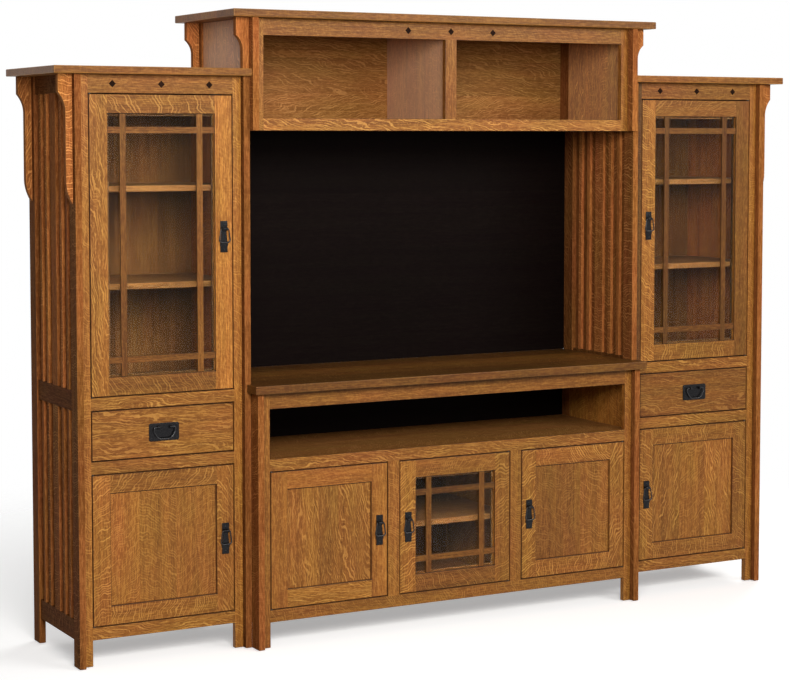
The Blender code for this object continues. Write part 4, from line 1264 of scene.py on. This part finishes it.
print("drawers made")

# %% [markdown]
# ## Black iron
#
# The pulls are hammered iron: a plate, ears that carry a bent rod, and a screw at each end. Iron
# that was forged isn't flat, so a cell pattern makes shallow hammer marks, and a fine noise changes
# its sheen from place to place.


# %% Iron
def iron_group():
    group, inside, outside = new_group(
        "hammered_iron",
        [("Place", "Vector"), ("Mark Size", "Float")],
        [("Color", "Color"), ("Roughness", "Float"), ("Height", "Float")],
    )
    place = add_node(group, "VectorMath", {0: inside.outputs["Place"]}, operation="SCALE")
    group.links.new(inside.outputs["Mark Size"], place.inputs["Scale"])
    inputs = {"Vector": place.outputs[0], "Scale": 1.0, "Smoothness": 0.7}
    cells = add_node(group, "TexVoronoi", inputs, feature="SMOOTH_F1")
    dust = noise_of(group, scaled(group, inside.outputs["Place"], (260.0, 260.0, 260.0)), 3.0)
    grey = ramp_of(group, dust, 0.35, 0.75)
    tint = mix_colour(group, grey, (0.004, 0.004, 0.005, 1), (0.014, 0.013, 0.014, 1))
    group.links.new(tint, outside.inputs["Color"])
    rough = math_of(group, "MULTIPLY_ADD", dust, 0.30, 0.16)
    group.links.new(rough, outside.inputs["Roughness"])
    group.links.new(cells.outputs["Distance"], outside.inputs["Height"])
    return group


IRON = iron_group()


def iron(name, mark_size, depth, coat):
    """A material with the iron group in it: marks per metre, their depth and the coat of wax."""
    material, tree, shader = new_material(name)
    marks = add_node(tree, "Group", node_tree=IRON)
    tree.links.new(on_object(tree), marks.inputs["Place"])
    marks.inputs["Mark Size"].default_value = mark_size
    feed_shader(tree, shader, marks, strength=0.6, distance=depth)
    shader.inputs["Metallic"].default_value = 0.6
    shader.inputs["Specular IOR Level"].default_value = 0.25
    shader.inputs["Coat Weight"].default_value = coat
    shader.inputs["Coat Roughness"].default_value = 0.12
    return material


black_iron = iron("black_iron", mark_size=260.0, depth=0.0006, coat=0.10)
rod_iron = iron("rod_iron", mark_size=420.0, depth=0.0003, coat=0.60)
print("iron ready")

# %% [markdown]
# ## Plates
#
# A plate is a flat outline carried forward by its thickness, with a rolled edge at the front only.
# Its ears are short round bars, and its screws are spheres pressed flat. On the doors the plate is
# a bell, and on the drawers an oblong with clipped corners. Only the right half of each outline is
# written down, because the left half mirrors it.

# %% Plates
PLATE = 0.0025
BEDDED = 0.0002
ROLLED_EDGE = 0.0009
EAR_AXIS = 0.0062
EAR_RADIUS = 0.0050
EAR_STEM = 0.72
BELL_SHARES = (0, 0.2, 0.4, 0.6, 0.8, 1)


def add_round(bm, centre, radius, length, axis):
    """A round bar about a centre, along X or Y, with softened ends."""
    turn = Matrix.Rotation(math.radians(90), 4, "Y" if axis == "x" else "X")
    made = bmesh.ops.create_cone(bm, cap_ends=True, segments=24, radius1=radius, radius2=radius,
                                 depth=length, matrix=Matrix.Translation(centre) @ turn)["verts"]
    edges = once(edge for vert in made for edge in vert.link_edges)
    rims = [edge for edge in edges if any(len(face.verts) > 4 for face in edge.link_faces)]
    ease_edges(bm, rims, radius * 0.12)


def add_screw(bm, centre, radius=0.0034):
    """A round-headed screw that stands out of the plate towards -Y."""
    made = bmesh.ops.create_uvsphere(bm, u_segments=20, v_segments=12, radius=radius)["verts"]
    bmesh.ops.scale(bm, vec=(1.0, 0.42, 1.0), verts=made)
    bmesh.ops.translate(bm, vec=centre, verts=made)


def add_plate(bm, half_outline, centre, face_y):
    """The plate itself, bedded a hair's breadth off the wood."""
    x, z = centre
    rear = face_y - BEDDED
    outline = [(x + out, rear, z + up) for out, up in half_outline]
    outline += [(x - out, rear, z + up) for out, up in reversed(half_outline)]
    face = bm.faces.new([bm.verts.new(point) for point in outline])
    pull_out(bm, [face], (0, -PLATE, 0))
    bmesh.ops.recalc_face_normals(bm, faces=bm.faces)
    front = min(bm.faces, key=lambda face: face.calc_center_median().y)
    ease_edges(bm, front.edges[:], ROLLED_EDGE, segments=3)


def bell_outline():
    """The door plate: a tab, a neck, a bell that widens down to its lip, and a tab below."""
    points = [(0.0125, 0.0515), (0.0125, 0.0225), (0.0112, 0.0200), (0.0100, 0.0185)]
    points += [(0.0092 + 0.0053 * share**1.6, 0.0165 - 0.042 * share) for share in BELL_SHARES]
    return points + [(0.0145, -0.0290), (0.0125, -0.0325), (0.0125, -0.0515)]


def oblong_outline():
    """The drawer plate: a rectangle with clipped corners."""
    upper = [(0.048, 0.029), (0.0505, 0.0265), (0.052, 0.025)]
    return upper + [(out, -up) for out, up in reversed(upper)]


def add_pull(body, half_outline, ears, ear_drop, screws):
    """The plate of one pull with its ears and screws, placed where its node is."""
    node = body + "_plate"
    low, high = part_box(node)
    x, z = (low.x + high.x) / 2, (low.z + high.z) / 2
    bm = bmesh.new()
    add_plate(bm, half_outline, (x, z), high.y)
    front = high.y - BEDDED - PLATE
    axis_z = high.z - ear_drop
    stem_y, stem = front - EAR_AXIS / 2 + PLATE / 4, EAR_AXIS + PLATE / 2
    for middle, width in ears:
        add_round(bm, (x + middle, front - EAR_AXIS, axis_z), EAR_RADIUS, width, "x")
        add_round(bm, (x + middle, stem_y, axis_z), EAR_RADIUS * EAR_STEM, stem, "y")
    for out, up in screws:
        add_screw(bm, (x + out, front, z + up))
    make_piece(bm, node + "_iron", node, black_iron, smooth=True)


print("plates ready")

# %% [markdown]
# ## Bails
#
# The handle that hangs from the ears is a bent rod. It could be a circle swept along a path, but a
# curve with a round bevel can also swell and thin along its length, as a forged rod does. The path
# is a few corners, each rounded by its own radius.

# %% Bails
ROD = 0.0024


def bent(corners, bends, steps=8):
    """The corners of a bent rod, each drawn as an arc of its own radius where the rod turns."""
    points = [Vector(corners[0])]
    for before, corner, after, bend in zip(corners, corners[1:], corners[2:], bends):
        corner = Vector(corner)
        back = (Vector(before) - corner).normalized()
        ahead = (Vector(after) - corner).normalized()
        half = back.angle(ahead) / 2
        middle = corner + (back + ahead).normalized() * bend / math.sin(half)
        start = (corner + back * bend / math.tan(half) - middle).normalized()
        end = (corner + ahead * bend / math.tan(half) - middle).normalized()
        points += [middle + start.slerp(end, step / steps) * bend for step in range(steps + 1)]
    points.append(Vector(corners[-1]))
    return points


def add_bail(node, half_path, half_bends, swell):
    """The rod, from its place in the frame: half of its path, mirrored about its middle."""
    low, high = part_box(node)
    x, y, z = (low.x + high.x) / 2, (low.y + high.y) / 2, high.z - ROD
    corners = [(x - out, y, z - down) for out, down in half_path]
    corners += [(x + out, y, z - down) for out, down in reversed(half_path)]
    points = bent(corners, half_bends + half_bends[::-1])
    curve = bpy.data.curves.new(node + "_rod", "CURVE")
    curve.dimensions = "3D"
    curve.bevel_depth = ROD
    curve.bevel_resolution = 4
    curve.use_fill_caps = True
    spline = curve.splines.new("POLY")
    spline.points.add(len(points) - 1)
    for spot, point in zip(spline.points, points):
        spot.co = (*point, 1.0)
        depth = (z - point.z) / (z - low.z - ROD)
        spot.radius = 1.0 - swell + swell * min(1.0, max(0.0, depth)) ** 2
    spline.use_smooth = True
    dress(bpy.data.objects.new(node + "_rod", curve), node, rod_iron)


print("rods", 2 * ROD, "m thick")

# %% [markdown]
# Seven doors have an upright pull with one ear. The two drawers have a wide one with two ears,
# whose bail curves out and back in like a swan's neck.

# %% Nine pulls
DOORS = ["left_glass_door", "left_lower_door", "right_glass_door", "right_lower_door",
         "console_left_door", "console_centre_door", "console_right_door"]
DOOR_EARS = [(0.0, 0.019)]
DOOR_SCREWS = [(0, 0.0395), (0, -0.042)]
DOOR_BAIL = [(0.005, 0.0), (0.0135, 0.0), (0.020, 0.045)]
DRAWER_EARS = [(-0.021, 0.008), (0.021, 0.008)]
DRAWER_SCREWS = [(out * 0.045, up * 0.022) for out in (-1, 1) for up in (-1, 1)]
DRAWER_BAIL = [(0.0205, 0.0), (0.0371, 0.0), (0.0371, 0.014), (0.023, 0.038)]

for body in DOORS:
    add_pull(body, bell_outline(), DOOR_EARS, 0.0255, DOOR_SCREWS)
    add_bail(body + "_bail", DOOR_BAIL, [0.005, 0.009], swell=0.22)
for body in ("left_drawer", "right_drawer"):
    add_pull(body, oblong_outline(), DRAWER_EARS, 0.013, DRAWER_SCREWS)
    add_bail(body + "_bail", DRAWER_BAIL, [0.006, 0.014, 0.022], swell=0.15)
print("pulls made", len(DOORS) + 2)

# %% [markdown]
# ## Inlays
#
# Small dark diamonds are let into the friezes, three in each. They are squares stood on a corner, a
# hair proud of the oak. They could be painted on with a mask, but a thin piece of darker oak
# catches the light at its edge as the real one does.

# %% Inlays
INLAY_REACH = 0.012
INLAY_THICK = 0.003
INLAY_PROUD = 0.0002
INLAY_EASE = 0.0001
TOWER_INLAY_STEP = 0.1665
BRIDGE_INLAY_STEP = 0.1685

dark_inlay = oak("dark_inlay", pale=(0.036, 0.015, 0.008), body=(0.022, 0.009, 0.005),
                 dark=(0.010, 0.004, 0.002), coat=0.0, shine=0.02)


def add_diamonds(name, node, places, z, face_y):
    reach, front = INLAY_REACH, face_y - INLAY_PROUD
    wood = Lumber()
    for x in places:
        corners = [(x + reach, z), (x, z + reach), (x - reach, z), (x, z - reach)]
        outline = [(across, front, up) for across, up in corners]
        wood.slab(outline, (0, INLAY_THICK, 0), "z", INLAY_EASE, figure="plain")
    return wood.finish(name, node, dark_inlay, False)


tower_middle = (INNER_X + OUTER_X) / 2
tower_frieze = (GLASS_TOP + TOWER_EAVE) / 2
for side, label in SIDES:
    places = [side * (tower_middle + step * TOWER_INLAY_STEP) for step in (-1, 0, 1)]
    add_diamonds(label + "_tower_inlays", label + "_tower_face_frame", places, tower_frieze, FACE)
places = [step * BRIDGE_INLAY_STEP for step in (-1, 0, 1)]
bridge_frieze = (CUBBY_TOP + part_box("bridge_cubby_case")[1].z) / 2
add_diamonds("bridge_inlays", "bridge_cubby_case", places, bridge_frieze, BRIDGE_FACE)
print("inlays made")

# %% [markdown]
# ## Small metal
#
# The small metal is blued steel, turned or pressed: the pivot pins that show in the gap over and
# under each door, the pins the shelves lie on, and the screws of the back panels. Each door is held
# shut by a magnet in a plastic case behind the rail over it, which meets a thin steel plate on the
# back of the door. Little of it shows when the doors are shut, but an open cabinet would look
# unfinished without it. It is all small and hard, so discs, boxes and pressed spheres are enough.

# %% Catches
steel, tree, shader = new_material("blued_steel")
lathe = noise_of(tree, scaled(tree, on_object(tree), (90.0, 90.0, 900.0)), 2.0)
steel_colour = mix_colour(tree, lathe, (0.050, 0.048, 0.046, 1.0), (0.110, 0.104, 0.098, 1.0))
tree.links.new(steel_colour, shader.inputs["Base Color"])
tree.links.new(math_of(tree, "MULTIPLY_ADD", lathe, 0.2, 0.25), shader.inputs["Roughness"])
shader.inputs["Metallic"].default_value = 1.0


def steel_piece(name, node, bm):
    return make_piece(bm, name, node, steel, False, smooth=True)


def add_range_box(bm, x, y, z, ease):
    """A box from its three ranges."""
    size = Vector((x[1] - x[0], y[1] - y[0], z[1] - z[0]))
    add_box(bm, Vector((x[0], y[0], z[0])), size, ease)


def add_catch(door, node, x, back, rail_edge):
    """The magnet case with its foot on the back of the rail, and the plate on the door."""
    case_y, case_z = (back + 0.0012, back + 0.0145), (rail_edge - 0.010, rail_edge + 0.012)
    foot_y, foot_z = (back + 0.0002, back + 0.0030), (rail_edge + 0.0005, rail_edge + 0.014)
    bm = bmesh.new()
    add_range_box(bm, x, case_y, case_z, 0.0006)
    add_range_box(bm, x, foot_y, foot_z, 0.0004)
    make_piece(bm, door + "_catch", "bridge_back", glide_nylon, False)
    bm = bmesh.new()
    strike_z = (rail_edge - 0.015, rail_edge - 0.004)
    add_range_box(bm, x, (back, back + 0.0008), strike_z, 0.0002)
    steel_piece(door + "_strike", node, bm)


print("steel and catches ready")

# %% [markdown]
# Each door turns about a pin at its top and at its foot, with a washer that keeps it off the frame.
# The record says where each door's joint is, so the pins stand exactly on its axis, and the catch
# goes to the other end of the door.

# %% Pivots and catches
PIN_RADIUS = 0.0028
WASHER_RADIUS = 0.0043
PIN_SHOWN = REVEAL - 0.0004
CATCH_FROM_EDGE = (0.030, 0.070)

pivots = {joint["child"]: Vector(joint["pos_m"]) for joint in behaviour["joints"]
          if joint["child"] in DOORS}
for door in DOORS:
    node = door if door in body_of else door + "_frame"
    z = door_z if "console" in door else glass_z if "glass" in door else lower_z
    back = (CONSOLE_FACE if "console" in door else FACE) + BOARD
    pivot = pivots[door]
    low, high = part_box(node)
    free = -1 if pivot.x > (low.x + high.x) / 2 else 1
    x = span(*(pivot.x + free * (high.x - low.x - out) for out in CATCH_FROM_EDGE))
    add_catch(door, node, x, back, z[1] + REVEAL)
    bm = bmesh.new()
    for edge, up in ((z[0], -1), (z[1], 1)):
        for radius, length in ((PIN_RADIUS, PIN_SHOWN), (WASHER_RADIUS, PIN_SHOWN / 3)):
            add_disc(bm, (pivot.x, pivot.y, edge + up * length / 2), radius, length)
    steel_piece(door + "_pivots", node, bm)
print("doors with pivots and catches", len(DOORS))

# %% [markdown]
# A shelf lies on four pins that stand out of the sides just under it. The backs are held by screws
# along their upright edges, with the same round heads as the pulls.

# %% Shelf pins and screws
SHELF_PIN_RADIUS = 0.0025
SHELF_PIN = 0.009
PIN_FROM_EDGE = 0.050
BACK_SCREW_RADIUS = 0.0040
SCREW_FROM_EDGE = 0.012
SCREW_FROM_END = 0.05
SCREW_ROWS = {"left_tower_back": 5, "right_tower_back": 5, "bridge_back": 4, "console_back": 3}

shelves = [label + "_tower_" + height + "_shelf" for _, label in SIDES
           for height in ("lower", "upper")] + ["console_shelf"]
for node in shelves:
    wide, deep, (bottom, _) = ranges(node)
    bm = bmesh.new()
    for x in inner(wide, SHELF_PIN / 2):
        for y in inner(deep, PIN_FROM_EDGE):
            add_round(bm, (x, y, bottom - SHELF_PIN_RADIUS), SHELF_PIN_RADIUS, SHELF_PIN, "x")
    steel_piece(node + "_pins", node, bm)

bm = bmesh.new()
for node, rows in SCREW_ROWS.items():
    wide, deep, (bottom, top) = ranges(node)
    run = top - bottom - 2 * SCREW_FROM_END
    for x in inner(wide, SCREW_FROM_EDGE):
        for row in range(rows):
            z = bottom + SCREW_FROM_END + run * row / (rows - 1)
            add_screw(bm, (x, deep[1], z), BACK_SCREW_RADIUS)
steel_piece("back_screws", "bridge_back", bm)
print("shelves on pins", len(shelves), "rows of screws", sum(SCREW_ROWS.values()))

# %% [markdown]
# ## Floor, light and background
#
# A plain pale floor catches the shadow and fades out to white further off. A white background could
# come from more light, but that would wash out the oak. So the floor and the world are white only
# for what the eye sees, straight, in a reflection or through glass, and dimmer as lights.

# %% Floor
FLOOR_HALF = 14.0


def seen_by_eye(tree):
    """1 for what is seen straight, mirrored or through glass, and 0 for light on its way."""
    path = add_node(tree, "LightPath")
    seen = math_of(tree, "MAXIMUM", path.outputs["Is Camera Ray"], path.outputs["Is Glossy Ray"])
    return math_of(tree, "MAXIMUM", seen, path.outputs["Is Transmission Ray"])


floor_mesh = bpy.data.meshes.new("floor")
bm = bmesh.new()
bmesh.ops.create_grid(bm, x_segments=1, y_segments=1, size=FLOOR_HALF)
bm.to_mesh(floor_mesh)
bm.free()
floor = bpy.data.objects.new("floor", floor_mesh)
bpy.context.scene.collection.objects.link(floor)

floor_finish, tree, shader = new_material("floor_finish")
seen = seen_by_eye(tree)
pale = mix_colour(tree, seen, (0.35, 0.35, 0.35, 1.0), (0.92, 0.92, 0.92, 1.0))
tree.links.new(pale, shader.inputs["Base Color"])
tree.links.new(math_of(tree, "MULTIPLY", seen, 0.38), shader.inputs["Emission Strength"])
shader.inputs["Emission Color"].default_value = (1.0, 1.0, 1.0, 1.0)
shader.inputs["Roughness"].default_value = 0.9
shader.inputs["Specular IOR Level"].default_value = 0.1
distance = add_node(tree, "VectorMath", {0: on_object(tree)}, operation="LENGTH").outputs["Value"]
fade = ramp_of(tree, distance, 1.2, 3.4)
clear = add_node(tree, "BsdfTransparent")
blend = add_node(tree, "MixShader", {0: fade, 1: shader.outputs[0], 2: clear.outputs[0]})
tree.links.new(blend.outputs[0], tree.nodes["Material Output"].inputs["Surface"])
floor_mesh.materials.append(floor_finish)
print("floor made")

# %% [markdown]
# One large soft lamp in front and to the left lights the fronts, as in the photograph. A wide one
# from the right opens the shadows, and a third behind shows the back when someone walks round.


# %% Lamps and world
def soft_lamp(name, place, target, size, power, colour):
    """A rectangular lamp at a place, turned to its target."""
    lamp_data = bpy.data.lights.new(name, "AREA")
    lamp_data.shape = "RECTANGLE"
    lamp_data.size, lamp_data.size_y = size
    lamp_data.energy = power
    lamp_data.color = colour
    lamp = bpy.data.objects.new(name, lamp_data)
    lamp.location = place
    lamp.rotation_euler = (Vector(target) - Vector(place)).to_track_quat("-Z", "Y").to_euler()
    bpy.context.scene.collection.objects.link(lamp)


soft_lamp("key_lamp", place=(-1.9, -4.0, 2.5), target=(-0.1, 0.0, 1.1), size=(2.0, 1.5),
          power=172, colour=(1.0, 0.98, 0.95))
soft_lamp("fill_lamp", place=(2.4, -4.4, 3.0), target=(0.4, 0.0, 0.9), size=(3.2, 1.2),
          power=115, colour=(1.0, 0.99, 0.97))
soft_lamp("back_lamp", place=(3.6, 3.2, 2.8), target=(0.4, 0.0, 0.9), size=(3.0, 1.4),
          power=150, colour=(1.0, 0.99, 0.97))

WORLD_LIGHT = 0.20
world = bpy.data.worlds.new("world")
bpy.context.scene.world = world
world.use_nodes = True
tree = world.node_tree
strength = math_of(tree, "MULTIPLY_ADD", seen_by_eye(tree), 1.0 - WORLD_LIGHT, WORLD_LIGHT)
backdrop = tree.nodes["Background"]
backdrop.inputs["Color"].default_value = (1.0, 1.0, 1.0, 1.0)
tree.links.new(strength, backdrop.inputs["Strength"])
print("lamps and world ready")
